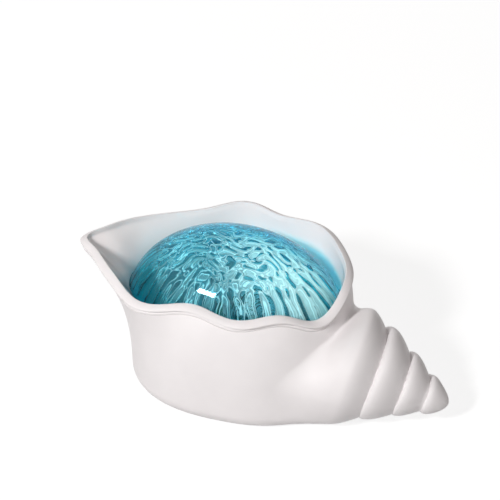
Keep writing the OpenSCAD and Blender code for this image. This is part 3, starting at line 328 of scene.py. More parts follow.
def funnelAt(th, share):
    # the liner's funnel from the neck down to the dome's edge, bent in like a bowl
    inner = lipR(th) - lip["seamIn"] - shellCut["wall"] + shellCut["rebate"]
    inner = inner - shellCut["linerGap"] - shellCut["liner"]
    top = np.stack([inner, seamZ(th) + linerForm["sitGap"]], -1)
    foot = np.stack([domeEdgeR(th, dome["gap"]), np.full_like(th, dome["seat"] + linerForm["sitGap"])], -1)
    return bowed(top, foot, linerForm["funnelBend"], share)


def linerFaceAt(th, share):
    # the side of the liner that is seen, from just under the rim down to the dome's edge
    inner = lipR(th) - lip["wide"] - linerForm["faceIn"]
    top = np.stack([inner, lipZ(th) - linerForm["faceDown"] * lip["high"]], -1)
    return bowed(top, funnelAt(th, 1.0), linerForm["faceBend"], share)


def ringOf(th, r, z):
    # points round the lip's centre
    t = np.radians(th)
    return np.stack([lip["cx"] + r * np.cos(t), r * np.sin(t), np.broadcast_to(z, r.shape)], -1)


def aboveSeam():
    # all that lies over the seam: out past the wall at the seam's height, then straight up
    cut = shellCut
    th = np.linspace(0, 360, cut["cutSides"], endpoint=False)
    high, level = lipR(th) - lip["seamIn"], seamZ(th)
    far = high + cut["stepOut"] + cut["stepFlare"] * np.maximum(high - waistR(th), 0)
    rows = np.stack([
        ringOf(th, high - cut["stepIn"], level), ringOf(th, far, level),
        ringOf(th, far, level + cut["stepRise"]), ringOf(th, far, cut["stepTop"])])
    poles = (lip["cx"], 0, lip["level"] - cut["stepSink"]), (lip["cx"], 0, cut["stepTop"])
    return closedSkin("cutSeam", rows, *poles, flip=True)


def linerRoom():
    # room for the liner: the funnel set out by the liner and its gap, a little lower and higher
    cut = shellCut
    th = (np.arange(cut["cutSides"]) + cut["roomTurn"]) * (360 / cut["cutSides"])
    g = cut["liner"] + cut["linerGap"]
    rows = [funnelAt(th, 1.0) + np.array([g, -cut["roomDown"]])]
    rows += [funnelAt(th, s) + np.array([g, 0]) for s in np.linspace(1, 0, cut["roomRows"])]
    rows.append(funnelAt(th, 0.0) + np.array([g, cut["roomUp"]]))
    rows = np.stack([ringOf(th, r[:, 0], r[:, 1]) for r in rows])
    poles = (lip["cx"], 0, dome["seat"] - cut["roomSink"]), (lip["cx"], 0, lip["level"])
    return closedSkin("cutRoom", rows, *poles, flip=True)


def baseHole():
    # an upright oval post, smaller than the waist by an even border
    th = np.linspace(0, 360, 360, endpoint=False)
    r = ovalR(th, waist["a"] - shellCut["holeIn"], waist["b"] - shellCut["holeIn"], waist["n"])
    x, y = waist["cx"] + r * np.cos(np.radians(th)), r * np.sin(np.radians(th))
    rows = np.stack([np.stack([x, y, np.full_like(x, z)], -1) for z in shellCut["holeSpan"]])
    poles = [(waist["cx"], 0, z) for z in shellCut["holeSpan"]]
    return closedSkin("cutBase", rows, *poles, flip=True)


def rearWindow():
    # a block with rounded corners through the rear wall
    t = np.linspace(0, 2 * np.pi, 96, endpoint=False)
    w, h, r = shellCut["winWide"] / 2, shellCut["winHigh"] / 2, shellCut["winCorner"]
    cx, cz = np.sign(np.cos(t)) * (w - r), np.sign(np.sin(t)) * (h - r)
    x, z = waist["cx"] + cx + r * np.cos(t), shellCut["winLevel"] + cz + r * np.sin(t)
    ends = waist["b"] - shellCut["winDeep"], waist["b"] + shellCut["winDeep"]
    rows = np.stack([np.stack([x, np.full_like(x, y), z], -1) for y in ends])
    poles = [(waist["cx"], y, shellCut["winLevel"]) for y in ends]
    return closedSkin("cutWindow", rows, *poles)


shellBody = shellSkin("shellBody", shellCut["rings"], shellCut["sides"], 0.0)
innerWall = shellSkin("cutInner", shellCut["innerRings"], shellCut["innerSides"], shellCut["wall"])
cutAway(shellBody, [innerWall, aboveSeam(), linerRoom(), baseHole(), rearWindow()], shellCut["sharp"])
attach(shellBody, "lamp")
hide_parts("outer_shell")
print("shell body:", len(shellBody.data.polygons), "faces")


# the lip band and the polished funnel, one smooth profile carried round the lip

def smoothLoop(ctrl, per):
    # closed Catmull-Rom curve through the control points, which are the first axis
    a, b, c, d = np.roll(ctrl, 1, 0), ctrl, np.roll(ctrl, -1, 0), np.roll(ctrl, -2, 0)
    square, cube = 2 * a - 5 * b + 4 * c - d, 3 * b - a - 3 * c + d
    out = [0.5 * (2 * b + (c - a) * s + square * s ** 2 + cube * s ** 3) for s in np.arange(per) / per]
    return np.stack(out, 1).reshape(-1, *ctrl.shape[1:])


def linerProfile(th):
    # control points in order: neck, round band, seen face, foot on the carrier, back of the funnel
    form = linerForm
    r, z, zs = lipR(th), lipZ(th), seamZ(th) + form["sitGap"]
    rn, w, h, n = r - lip["seamIn"], lip["wide"], lip["high"], lip["neck"]
    neck = [(rn + out, zs + up * n) for out, up in form["neckAt"]]
    band = [(r - across * w - inset, z - down * h) for inset, across, down in form["bandAt"]]
    outer = [np.stack(p, -1) for p in neck + band]
    face = [linerFaceAt(th, s) for s in np.linspace(0, 1, form["faceRows"])]
    foot = [np.stack([domeEdgeR(th, dome["flange"]), np.full_like(th, dome["seat"] + form["sitGap"])], -1)]
    back = [funnelAt(th, s) + np.array([shellCut["liner"], 0])
            for s in np.linspace(form["backFrom"], 0, form["backRows"])]
    return np.stack(outer + face + foot + back)


def makeLiner():
    # the smooth profile at every direction round the lip, kept from sinking into the carrier
    th = np.linspace(0, 360, linerForm["around"], endpoint=False)
    loop = smoothLoop(linerProfile(th), linerForm["perSpan"])
    height = np.maximum(loop[..., 1], dome["seat"] + linerForm["sitGap"])
    points = ringOf(th, loop[..., 0], height)
    quads = gridFaces(*points.shape[:2], closeRows=True)[:, ::-1]
    return meshFrom("lipLiner", points.reshape(-1, 3), quads, sharp=linerForm["sharp"])


lipLiner = makeLiner()
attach(lipLiner, "lamp")
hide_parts("lip_liner")
print("lip and liner:", len(lipLiner.data.polygons), "faces")


# the dome: smooth outside, water ripples inside

ripples = dict(
    deep=0.75, cell=5.6, longX=0.74, shortY=1.2,  # height and size of the cells, stretched sideways
    # crossing waves: degrees, scale, phase
    waves=((12, 1.0, 0.3), (74, 0.94, 1.7), (133, 1.1, 4.1), (45, 1.35, 2.2), (103, 1.5, 0.9)),
    # slow waves that bend them: size, run along x, run along y, phase
    warp=0.9, bendX=((2.2, 0.0, 0.21, 0.6), (1.6, 0.33, -0.27, 0.0)),
    bendY=((2.0, 0.19, 0.0, 1.1), (1.5, 0.29, 0.35, 2.0)),
    fine=0.3, fineScale=1.9, fineBend=(1.2, 0.4, 0.5, 0.0), netFull=0.5,
    streak=42, drift=((0.5, 5, 6, 0.0), (0.35, 11, -9, 1.0)), streakBend=2.4,  # streaks round the sides
    slow=0.6, slowScale=0.5, slowBend=3.1, slowPhase=1.3,
    breaks=30.0, breakBend=((1.6, 0.5, 2.0, 0.0), (1.3, 0.23, 0.0, 0.7)),  # breaks across the streaks
    breakBy=1.1, breakFrom=0.46, breakFade=0.2, streakFull=0.75,
    streakFrom=0.30, streakBy=0.30, netLoss=0.85, streakGain=1.15,  # cells give way to streaks
    rearFrom=0.0, rearBy=0.5, rearKeep=0.15,  # but hardly at the rear
    stillRim=0.08, around=420, outRows=56, inRows=150)


def sineSum(u, v, terms):
    # sum of sines that run across two parameters
    return sum(size * np.sin(runU * u + runV * v + phase) for size, runU, runV, phase in terms)


def rippleHeight(x, y, share):
    # crossing waves bent by slower ones on the crown, drawn out into streaks down the sides
    rip = ripples
    k = 2 * np.pi / rip["cell"]
    wx = x + rip["warp"] * sineSum(x, y, rip["bendX"])
    wy = y + rip["warp"] * sineSum(x, y, rip["bendY"])
    net = np.zeros_like(x)
    for ang, scale, phase in rip["waves"]:
        c, s = math.cos(math.radians(ang)), math.sin(math.radians(ang))
        run = k * scale * (rip["longX"] * c * wx + rip["shortY"] * s * wy) + phase
        net += np.cos(run) + rip["fine"] * np.cos(rip["fineScale"] * run + sineSum(x, y, [rip["fineBend"]]))
    net = np.tanh(net * rip["netFull"])
    th = np.arctan2(y / dome["b"], x / dome["a"])
    drift = sineSum(th, share, rip["drift"])
    side = rip["streak"] * th
    run = np.cos(side + rip["streakBend"] * drift)
    run = run + rip["slow"] * np.cos(rip["slowScale"] * side + rip["slowBend"] * drift + rip["slowPhase"])
    along = rip["breaks"] * share + sineSum(side, drift, rip["breakBend"])
    short = 1 - ease((share - rip["breakFrom"]) / rip["breakFade"])
    run = np.tanh((run + rip["breakBy"] * short * np.cos(along)) * rip["streakFull"])
    mix = ease((share - rip["streakFrom"]) / rip["streakBy"])
    rear = ease((y / dome["b"] - rip["rearFrom"]) / rip["rearBy"])
    mix = mix * (1 - (1 - rip["rearKeep"]) * rear)
    return rip["deep"] * (net * (1 - rip["netLoss"] * mix) + rip["streakGain"] * run * mix)


def markPoints(obj, name, values):
    # a number on each vertex, which the material reads by its name
    mark = obj.data.attributes.new(name, "FLOAT", "POINT")
    mark.data.foreach_set("value", values.astype(np.float32))


def makeDome():
    # half an ellipsoid outside, a flange, and a smaller half ellipsoid inside, pushed in by the ripples
    d = dome
    t = np.linspace(0, 2 * np.pi, ripples["around"], endpoint=False)
    inA, inB, inC = d["a"] - d["wall"], d["b"] - d["wall"], d["c"] - d["wall"]
    under = d["seat"] - d["flangeThick"]
    low = math.asin((d["seat"] - d["cz"]) / d["c"])
    inLow = math.asin((under - d["cz"]) / inC)
    k = math.cos(low)

    def ring(a, b, z):
        # a level oval round the dome's axis
        return np.stack([d["cx"] + a * np.cos(t), d["cy"] + b * np.sin(t), np.full_like(t, z)], -1)

    e = np.linspace(math.pi / 2, low, ripples["outRows"] + 1)[1:]
    outer = [ring(d["a"] * math.cos(v), d["b"] * math.cos(v), d["cz"] + d["c"] * math.sin(v)) for v in e]
    outer += [ring(d["a"] * k + d["flange"], d["b"] * k + d["flange"], z) for z in (d["seat"], under)]
    inner, crests = [], []
    for v in np.linspace(inLow, math.pi / 2, ripples["inRows"] + 1)[:-1]:
        share = 1 - v / (math.pi / 2)
        flat = ring(inA * math.cos(v), inB * math.cos(v), d["cz"] + inC * math.sin(v))
        out = np.stack([np.cos(t) * math.cos(v), np.sin(t) * math.cos(v), np.full_like(t, math.sin(v))], -1)
        still = float(ease((v - inLow) / ripples["stillRim"]))
        h = rippleHeight(flat[:, 0] - d["cx"], flat[:, 1] - d["cy"], share) * still
        inner.append(flat - out * (h[:, None] + ripples["deep"] * still))
        crests.append(h / ripples["deep"])
    rows = np.stack(outer + inner)
    poles = (d["cx"], d["cy"], d["cz"] + d["c"]), (d["cx"], d["cy"], d["cz"] + inC - ripples["deep"])
    obj = closedSkin("rippleDome", rows, *poles, sharp=d["sharp"])
    within = np.repeat(np.arange(len(rows)) >= len(outer), len(t))
    markPoints(obj, "within", np.concatenate([within, [0.0, 1.0]]))
    plain = np.zeros(len(outer) * len(t))
    markPoints(obj, "crest", np.concatenate([plain, *crests, [0.0, crests[-1].mean()]]))
    return obj


rippleDome = makeDome()
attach(rippleDome, "lamp")
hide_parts("ripple_dome")
print("dome:", len(rippleDome.data.polygons), "faces")


# finishes, all from nodes on Object coordinates

def newMaterial(name):
    # a Principled material with its coordinates at hand
    mat = bpy.data.materials.new(name)
    mat.use_nodes = True
    tree = mat.node_tree
    shader = tree.nodes["Principled BSDF"]
    coords = tree.nodes.new("ShaderNodeTexCoord")
    return mat, tree, shader, coords


def noiseOn(tree, coords, scale, detail, stretch=(1, 1, 1)):
    # noise over Object coordinates, closer along a stretched axis
    place = tree.nodes.new("ShaderNodeMapping")
    place.inputs["Scale"].default_value = stretch
    tree.links.new(coords.outputs["Object"], place.inputs["Vector"])
    noise = tree.nodes.new("ShaderNodeTexNoise")
    noise.inputs["Scale"].default_value = scale
    noise.inputs["Detail"].default_value = detail
    tree.links.new(place.outputs["Vector"], noise.inputs["Vector"])
    return noise


def mathOn(tree, kind, value, other):
    # one sum on a node's output, with a number or another output beside it
    node = tree.nodes.new("ShaderNodeMath")
    node.operation = kind
    tree.links.new(value, node.inputs[0])
    if isinstance(other, float):
        node.inputs[1].default_value = other
    else:
        tree.links.new(other, node.inputs[1])
    return node.outputs[0]


def spread(tree, value, fromLo, fromHi, toLo, toHi):
    # straight line from one range to another, held at its ends
    node = tree.nodes.new("ShaderNodeMapRange")
    for key, v in zip(("From Min", "From Max", "To Min", "To Max"), (fromLo, fromHi, toLo, toHi)):
        node.inputs[key].default_value = v
    tree.links.new(value, node.inputs["Value"])
    return node.outputs["Result"]


def rampOn(tree, value, stops):
    # colours or shares at places along a value from 0 to 1
    node = tree.nodes.new("ShaderNodeValToRGB")
    node.color_ramp.elements.remove(node.color_ramp.elements[1])
    for i, (at, colour) in enumerate(stops):
        stop = node.color_ramp.elements[0] if i == 0 else node.color_ramp.elements.new(at)
        stop.position = at
        stop.color = (*(colour if isinstance(colour, tuple) else (colour,) * 3), 1)
    tree.links.new(value, node.inputs["Fac"])
    return node.outputs["Color"]


def blendOn(tree, share, first, second):
    # straight mix of two colours, the first of which may be plain numbers
    node = tree.nodes.new("ShaderNodeMix")
    node.data_type = "RGBA"
    tree.links.new(share, node.inputs["Factor"])
    if isinstance(first, tuple):
        node.inputs["A"].default_value = (*first, 1)
    else:
        tree.links.new(first, node.inputs["A"])
    tree.links.new(second, node.inputs["B"])
    return node.outputs["Result"]


def mixShaders(tree, share, first, second):
    # the first shader at share 0 and the second at share 1
    node = tree.nodes.new("ShaderNodeMixShader")
    if isinstance(share, float):
        node.inputs["Fac"].default_value = share
    else:
        tree.links.new(share, node.inputs["Fac"])
    tree.links.new(first, node.inputs[1])
    tree.links.new(second, node.inputs[2])
    return node.outputs["Shader"]


def roughen(tree, shader, source, lo, hi):
    # the noise moves the roughness between two values
    tree.links.new(spread(tree, source.outputs["Fac"], 0.0, 1.0, lo, hi), shader.inputs["Roughness"])


def emboss(tree, shader, source, strength, depth):
    # the noise as a fine relief; the strength is a number or an output
    relief = tree.nodes.new("ShaderNodeBump")
    relief.inputs["Distance"].default_value = depth
    if isinstance(strength, float):
        relief.inputs["Strength"].default_value = strength
    else:
        tree.links.new(strength, relief.inputs["Strength"])
    tree.links.new(source.outputs["Fac"], relief.inputs["Height"])
    tree.links.new(relief.outputs["Normal"], shader.inputs["Normal"])


grain = dict(
    slow=45, slowDetail=3, tintFrom=0.35, tintTo=0.65,  # drift of the colour
    fine=2600, fineDetail=2, relief=0.0002, coatRough=0.05)


def moulded(name, dark, light, roughLo, roughHi, fineScale=grain["fine"], relief=0.12, metal=0.0,
            stretch=(1, 1, 1), coat=0.0, gleam=0.5):
    # a moulded or drawn surface: two close colours drift slowly, a fine grain is in the relief and the gloss
    mat, tree, shader, coords = newMaterial(name)
    slow = noiseOn(tree, coords, grain["slow"], grain["slowDetail"])
    fine = noiseOn(tree, coords, fineScale, grain["fineDetail"], stretch)
    tint = rampOn(tree, slow.outputs["Fac"], ((grain["tintFrom"], dark), (grain["tintTo"], light)))
    tree.links.new(tint, shader.inputs["Base Color"])
    roughen(tree, shader, fine, roughLo, roughHi)
    emboss(tree, shader, fine, relief, grain["relief"])
    shader.inputs["Metallic"].default_value = metal
    shader.inputs["Coat Weight"].default_value = coat
    shader.inputs["Coat Roughness"].default_value = grain["coatRough"]
    shader.inputs["Specular IOR Level"].default_value = gleam
    return mat


domeTintAndPaintedLight = dict(
    cells=150.0, cellDetail=1.5, warp=1.2, relief=0.00016,  # fine relief of the inner face
    soak=(0.0, 0.77, 0.815), soakDensity=75.0, lampShade=((0.0, 0.97), (1.0, 0.58)),
    index=1.19, rough=0.015, gleam=0.5, polish=0.045, polishTint=(0.35, 0.88, 1.0),
    paleAlong=(-0.062, 0.036), paleLevel=0.075, paleRise=1.0, deepBehind=1.8,  # where painted shade by the spout turns to painted light towards the spire and upwards, deeper at the rear, in metres
    rearOver=(-0.002, 0.018), rearTint=(0.0, 0.46, 0.66),
    # painted shade by the spout: how much of the ripples' hue is left there, and the deep tint laid over it
    spoutClear=0.2, spoutPaintedShade=(0.0, 0.52, 0.64),
    crestSpan=(-1.05, 1.05),  # ripple height that the next tables run over, from trough 0 to crest 1
    # painted highlights and painted shade of light bent by the ripples, by ripple height: a pale diffuse share
    # that the lamps light, and white or deep hues of the clear plastic
    paintedHighlightBack=0.1, spoutShadeReach=0.25, paintedHighlightHue=((0.0, (0.08, 0.74, 0.90)), (1.0, (0.82, 0.83, 0.82))),
    paintedHighlightAt=((0.0, 0.0), (0.28, 0.0), (0.34, 0.7), (0.38, 0.7), (0.44, 0.02), (0.62, 0.02), (0.67, 0.85),
            (0.72, 0.85), (0.78, 0.06), (1.0, 0.2)),
    hueAt=((0.0, (0.05, 0.34, 0.44)), (0.27, (0.08, 0.46, 0.56)), (0.34, (1, 1, 1)), (0.44, (0.3, 0.7, 0.8)),
           (0.6, (0.04, 0.44, 0.6)), (0.68, (1, 1, 1)), (0.8, (0.5, 0.82, 0.88)), (1.0, (0.8, 0.94, 0.96))),
    farOver=(0.5, 0.9),  # the same tables towards the spire, paler there as painted light
    paintedHighlightFar=((0.0, 0.0), (0.26, 0.02), (0.34, 0.65), (0.5, 0.55), (0.7, 0.9), (0.78, 0.55), (1.0, 0.75)),
    hueFar=((0.0, (0.0, 0.3, 0.5)), (0.25, (0.0, 0.42, 0.6)), (0.34, (1, 1, 1)), (0.5, (0.8, 0.95, 0.97)),
            (0.7, (1, 1, 1)), (1.0, (1, 1, 1))))


def letLampsThrough(tree, surface, tinge):
    # lamps shine through with this tinge, so that what lies behind clear plastic is lit
    path = tree.nodes.new("ShaderNodeLightPath")
    let = tree.nodes.new("ShaderNodeBsdfTransparent")
    tree.links.new(tinge, let.inputs["Color"])
    mix = mixShaders(tree, path.outputs["Is Shadow Ray"], surface, let.outputs["BSDF"])
    tree.links.new(mix, tree.nodes["Material Output"].inputs["Surface"])


def soakIn(tree, colour, density):
    # the tint that lies in the thickness of the plastic
    soak = tree.nodes.new("ShaderNodeVolumeAbsorption")
    soak.inputs["Color"].default_value = (*colour, 1)
    soak.inputs["Density"].default_value = density
    tree.links.new(soak.outputs["Volume"], tree.nodes["Material Output"].inputs["Volume"])


def readMark(tree, name):
    # the number that the mesh carries under this name
    node = tree.nodes.new("ShaderNodeAttribute")
    node.attribute_name = name
    return node.outputs["Fac"]


def domeGlass():
    # tinted clear plastic with an even polish outside; inside, painted highlights (a pale diffuse share that
    # the lamps light) and painted shade (a deep tint) follow the ripples' height, with painted shade towards
    # the spout, painted light towards the spire, and bluer at the rear
    mat, tree, shader, coords = newMaterial("domeGlass")
    tone = domeTintAndPaintedLight
    within, crest = readMark(tree, "within"), readMark(tree, "crest")
    net = noiseOn(tree, coords, tone["cells"], tone["cellDetail"])
    net.inputs["Distortion"].default_value = tone["warp"]
    emboss(tree, shader, net, within, tone["relief"])
    shader.inputs["Transmission Weight"].default_value = 1.0
    shader.inputs["IOR"].default_value = tone["index"]
    shader.inputs["Roughness"].default_value = tone["rough"]
    shader.inputs["Specular IOR Level"].default_value = tone["gleam"]

    # where a point lies: along from the painted shade at the spout to the painted light at the spire, in front
    # or at the rear, trough or crest
    axes = tree.nodes.new("ShaderNodeSeparateXYZ")
    tree.links.new(coords.outputs["Object"], axes.inputs["Vector"])
    rise = mathOn(tree, "SUBTRACT", axes.outputs["Z"], tone["paleLevel"])
    rise = mathOn(tree, "MULTIPLY", rise, tone["paleRise"])
    behind = mathOn(tree, "MAXIMUM", axes.outputs["Y"], 0.0)
    behind = mathOn(tree, "MULTIPLY", behind, tone["deepBehind"])
    slant = mathOn(tree, "SUBTRACT", mathOn(tree, "ADD", axes.outputs["X"], rise), behind)
    along = spread(tree, slant, *tone["paleAlong"], 0.0, 1.0)
    level = spread(tree, crest, *tone["crestSpan"], 0.0, 1.0)
    far = spread(tree, along, *tone["farOver"], 0.0, 1.0)
    near = spread(tree, along, 0.0, tone["spoutShadeReach"], tone["spoutClear"], 1.0)
    front = spread(tree, axes.outputs["Y"], *tone["rearOver"], 1.0, 0.0)

    # painted shade and light: the ripples' hues turn paler towards the spire, and the deep spout tint is laid
    # over them near the spout
    hue = blendOn(tree, far, rampOn(tree, level, tone["hueAt"]), rampOn(tree, level, tone["hueFar"]))
    hue = blendOn(tree, front, tone["rearTint"], hue)
    tree.links.new(blendOn(tree, near, tone["spoutPaintedShade"], hue), shader.inputs["Base Color"])

    # painted highlights: a pale diffuse share on the crest lines, lit by the lamps, paler towards the spire and
    # thinned out in the painted shade by the spout
    paintedHighlightHue = rampOn(tree, front, tone["paintedHighlightHue"])
    bright = tree.nodes.new("ShaderNodeBsdfDiffuse")
    back = tree.nodes.new("ShaderNodeBsdfTranslucent")
    for node in (bright, back):
        tree.links.new(paintedHighlightHue, node.inputs["Color"])
    paintedHighlight = mixShaders(tree, tone["paintedHighlightBack"], bright.outputs["BSDF"], back.outputs["BSDF"])
    share = blendOn(tree, far, rampOn(tree, level, tone["paintedHighlightAt"]), rampOn(tree, level, tone["paintedHighlightFar"]))
    share = mathOn(tree, "MULTIPLY", within, mathOn(tree, "MULTIPLY", share, near))
    both = mixShaders(tree, share, shader.outputs["BSDF"], paintedHighlight)

    polish = tree.nodes.new("ShaderNodeBsdfAnisotropic")
    polish.inputs["Color"].default_value = (*tone["polishTint"], 1)
    polish.inputs["Roughness"].default_value = tone["rough"]
    outside = spread(tree, within, 0.0, 1.0, tone["polish"], 0.0)
    shine = mixShaders(tree, outside, both, polish.outputs["BSDF"])
    letLampsThrough(tree, shine, rampOn(tree, within, tone["lampShade"]))
    soakIn(tree, tone["soak"], tone["soakDensity"])
    return mat


clearForm = dict(index=1.46, haze=700, hazeDetail=2, rough=(0.02, 0.09))


def clearPlain(name, colour):
    # clear plastic with a faint haze in its gloss
    mat, tree, shader, coords = newMaterial(name)
    shader.inputs["Base Color"].default_value = (*colour, 1)
    shader.inputs["Transmission Weight"].default_value = 1.0
    shader.inputs["IOR"].default_value = clearForm["index"]
    haze = noiseOn(tree, coords, clearForm["haze"], clearForm["hazeDetail"])
    roughen(tree, shader, haze, *clearForm["rough"])
    return mat


finish = dict(  # two colours, roughness from and to, then the grain's scale and relief
    shell=moulded("shellSatin", (0.80, 0.768, 0.772), (0.83, 0.798, 0.802), 0.40, 0.50, 3200, 0.08, gleam=0.3),
    liner=moulded("linerGloss", (0.94, 0.885, 0.88), (0.96, 0.905, 0.90), 0.10, 0.16, 1500, 0.02, coat=0.3),
    dome=domeGlass(),
    frameWhite=moulded("frameWhite", (0.66, 0.66, 0.66), (0.72, 0.72, 0.72), 0.4, 0.55),
    frameGrey=moulded("frameGrey", (0.40, 0.41, 0.42), (0.45, 0.46, 0.47), 0.45, 0.6),
    baseWhite=moulded("baseWhite", (0.72, 0.70, 0.69), (0.76, 0.74, 0.73), 0.45, 0.6, 2200, 0.2),
    pad=moulded("padRubber", (0.03, 0.03, 0.032), (0.045, 0.045, 0.048), 0.7, 0.9, 1800, 0.4),
    steel=moulded("zincSteel", (0.52, 0.53, 0.55), (0.62, 0.63, 0.65), 0.22, 0.38, 1500, 0.05, metal=1.0),
    springSteel=moulded("springSteel", (0.10, 0.10, 0.11), (0.15, 0.15, 0.16), 0.3, 0.45, 1500, 0.05,
                        metal=1.0),
    can=moulded("motorCan", (0.55, 0.56, 0.58), (0.64, 0.65, 0.67), 0.2, 0.34, 900, 0.05, metal=1.0,
                stretch=(1, 1, 14)),
    nylon=moulded("nylon", (0.78, 0.76, 0.68), (0.84, 0.82, 0.74), 0.35, 0.5),
    clear=clearPlain("clearDisc", (0.9, 0.97, 0.98)),
    alu=moulded("sinkAluminium", (0.5, 0.51, 0.53), (0.6, 0.61, 0.63), 0.28, 0.42, 900, 0.08, metal=1.0,
                stretch=(1, 14, 1)),
    boardWhite=moulded("boardWhite", (0.8, 0.8, 0.8), (0.85, 0.85, 0.85), 0.3, 0.42),
    boardGreen=moulded("boardGreen", (0.008, 0.09, 0.04), (0.012, 0.12, 0.055), 0.25, 0.4),
    phosphor=moulded("phosphor", (0.85, 0.7, 0.12), (0.9, 0.78, 0.2), 0.35, 0.5),
    chip=moulded("chipBlack", (0.012, 0.012, 0.013), (0.02, 0.02, 0.022), 0.4, 0.6),
    inlet=moulded("inletMetal", (0.55, 0.55, 0.57), (0.66, 0.66, 0.68), 0.16, 0.28, 1200, 0.04, metal=1.0),
    button=moulded("buttonGloss", (0.79, 0.78, 0.78), (0.83, 0.82, 0.82), 0.16, 0.24, 1500, 0.03),
    header=moulded("headerWhite", (0.76, 0.74, 0.68), (0.82, 0.80, 0.74), 0.35, 0.5),
    leadRed=moulded("leadRed", (0.30, 0.012, 0.01), (0.36, 0.018, 0.015), 0.35, 0.5),
    leadBlack=moulded("leadBlack", (0.01, 0.01, 0.011), (0.018, 0.018, 0.02), 0.35, 0.5))

wears = dict(
    dome_carrier="frameWhite", carrier_screws="steel", chassis="frameGrey",
    base_plate="baseWhite", base_screws="steel", foot_pad="pad",
    drive_motor="can", motor_gearbox="nylon", motor_screws="steel", motor_shaft="steel", motor_pinion="nylon",
    wave_gear="nylon", wave_disc="clear", wave_axle="steel", axle_clip="springSteel",
    led_heatsink="alu", heatsink_screws="steel", led_board="boardWhite", led_chips="phosphor", led_lens="clear",
    main_board="boardGreen", board_screws="steel", driver_chips="chip", usb_socket="inlet", usb_tongue="chip",
    button_switch="chip", power_button="button", rear_panel="baseWhite",
    motor_header="header", led_header="header", motor_leads="leadRed", led_leads="leadBlack")


def dress(obj, mat):
    # one finish all over
    obj.data.materials.clear()
    obj.data.materials.append(mat)


for name, key in wears.items():
    dress(nodes[name], finish[key])
dress(shellBody, finish["shell"])
dress(lipLiner, finish["shell"])
lipLiner.data.materials.append(finish["liner"])  # polished from the rim inwards
inFunnel = np.zeros((len(lipLiner.data.polygons) // linerForm["around"], linerForm["around"]), np.int32)
inFunnel[linerForm["glossFrom"] * linerForm["perSpan"]:] = 1
lipLiner.data.polygons.foreach_set("material_index", inFunnel.ravel())
dress(rippleDome, finish["dome"])
print("finishes:", len(bpy.data.materials))


# floor, light and camera

studio = dict(
    floorAt=0.0, floorSize=6.0, floorBase=0.6, floorRough=0.9, floorWhite=0.81, floorShade=0.3,
    worldLight=0.16, worldColour=(1.0, 0.91, 0.86), lampAim=(0, 0, 0.04))
lamps = dict(  # place in metres, width, height, power in watts, lights surfaces, shows in reflections
    keyLamp=((-0.5, -1.1, 1.0), 0.2, 0.2, 18.0, True, False),
    windowLamp=((-0.66, -1.30, 0.80), 0.42, 0.15, 10.0, False, True),
    fillLamp=((0.9, -1.1, 1.1), 0.8, 0.8, 5.0, True, False),
    backLamp=((-0.5, 1.3, 0.2), 0.9, 0.22, 8.0, True, False))
view = dict(  # degrees and mm, but the clip in metres
    azimuth=16.7, elevation=35.3, aim=(-3.9, 0.0, 82.0), away=1036.0,
    lens=144.0, sensor=36.0, clip=(0.05, 50))


def seenRays(tree):
    # 1 for camera, mirror and see-through rays
    path = tree.nodes.new("ShaderNodeLightPath")
    first = mathOn(tree, "MAXIMUM", path.outputs["Is Camera Ray"], path.outputs["Is Glossy Ray"])
    return mathOn(tree, "MAXIMUM", first, path.outputs["Is Transmission Ray"])


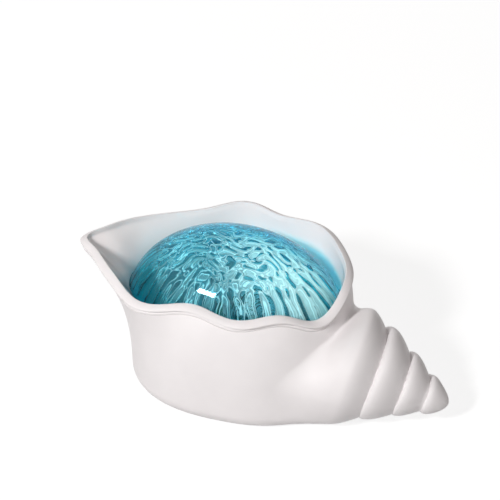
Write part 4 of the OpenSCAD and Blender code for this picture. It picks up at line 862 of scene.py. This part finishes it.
def makeFloor():
    # pale floor: to the camera mostly plain white, with enough of its own shading left for the shadow
    s = studio["floorSize"] / mm / 2
    points = np.array([[-s, -s, 0], [s, -s, 0], [s, s, 0], [-s, s, 0]]) + np.array([0, 0, studio["floorAt"]])
    floor = meshFrom("studioFloor", points, np.array([[0, 1, 2, 3]]), smooth=False)
    mat, tree, shader, coords = newMaterial("floorPale")
    shader.inputs["Base Color"].default_value = (*[studio["floorBase"]] * 3, 1)
    shader.inputs["Roughness"].default_value = studio["floorRough"]
    shader.inputs["Specular IOR Level"].default_value = 0.0
    dim = tree.nodes.new("ShaderNodeBsdfDiffuse")
    dim.inputs["Color"].default_value = (*[studio["floorShade"]] * 3, 1)
    glow = tree.nodes.new("ShaderNodeEmission")
    glow.inputs["Strength"].default_value = studio["floorWhite"]
    both = tree.nodes.new("ShaderNodeAddShader")
    tree.links.new(dim.outputs["BSDF"], both.inputs[0])
    tree.links.new(glow.outputs["Emission"], both.inputs[1])
    mix = mixShaders(tree, seenRays(tree), shader.outputs["BSDF"], both.outputs["Shader"])
    tree.links.new(mix, tree.nodes["Material Output"].inputs["Surface"])
    dress(floor, mat)


def makeWorld():
    # white where it is seen, a low warm light where it lights
    world = bpy.data.worlds.new("studioWorld")
    scene.world = world
    world.use_nodes = True
    tree = world.node_tree
    back = tree.nodes["Background"]
    back.inputs["Color"].default_value = (*studio["worldColour"], 1)
    back.inputs["Strength"].default_value = studio["worldLight"]
    white = tree.nodes.new("ShaderNodeBackground")
    white.inputs["Color"].default_value = (1, 1, 1, 1)
    white.inputs["Strength"].default_value = 1.0
    mix = mixShaders(tree, seenRays(tree), back.outputs["Background"], white.outputs["Background"])
    tree.links.new(mix, tree.nodes["World Output"].inputs["Surface"])


def softLamp(name, at, wide, high, power, lighting, mirrored):
    # an oblong lamp turned towards the object
    data = bpy.data.lights.new(name, "AREA")
    data.shape = "RECTANGLE"
    data.size = wide
    data.size_y = high
    data.energy = power
    lamp = bpy.data.objects.new(name, data)
    scene.collection.objects.link(lamp)
    lamp.location = at
    lamp.visible_diffuse = lighting
    lamp.visible_glossy = mirrored
    lamp.rotation_euler = (Vector(studio["lampAim"]) - Vector(at)).to_track_quat("-Z", "Y").to_euler()


def makeCamera():
    # looks at the aim from its direction round and up
    az, el = math.radians(view["azimuth"]), math.radians(view["elevation"])
    back = Vector((math.sin(az) * math.cos(el), -math.cos(az) * math.cos(el), math.sin(el)))
    data = bpy.data.cameras.new("photoCamera")
    data.sensor_width = view["sensor"]
    data.lens = view["lens"]
    data.clip_start, data.clip_end = view["clip"]
    cam = bpy.data.objects.new("photoCamera", data)
    scene.collection.objects.link(cam)
    cam.location = Vector(view["aim"]) * mm + back * view["away"] * mm
    cam.rotation_euler = (-back).to_track_quat("-Z", "Y").to_euler()
    scene.camera = cam


makeFloor()
makeWorld()
for name, settings in lamps.items():
    softLamp(name, *settings)
makeCamera()
scene.view_settings.view_transform = "Standard"
print("studio ready")
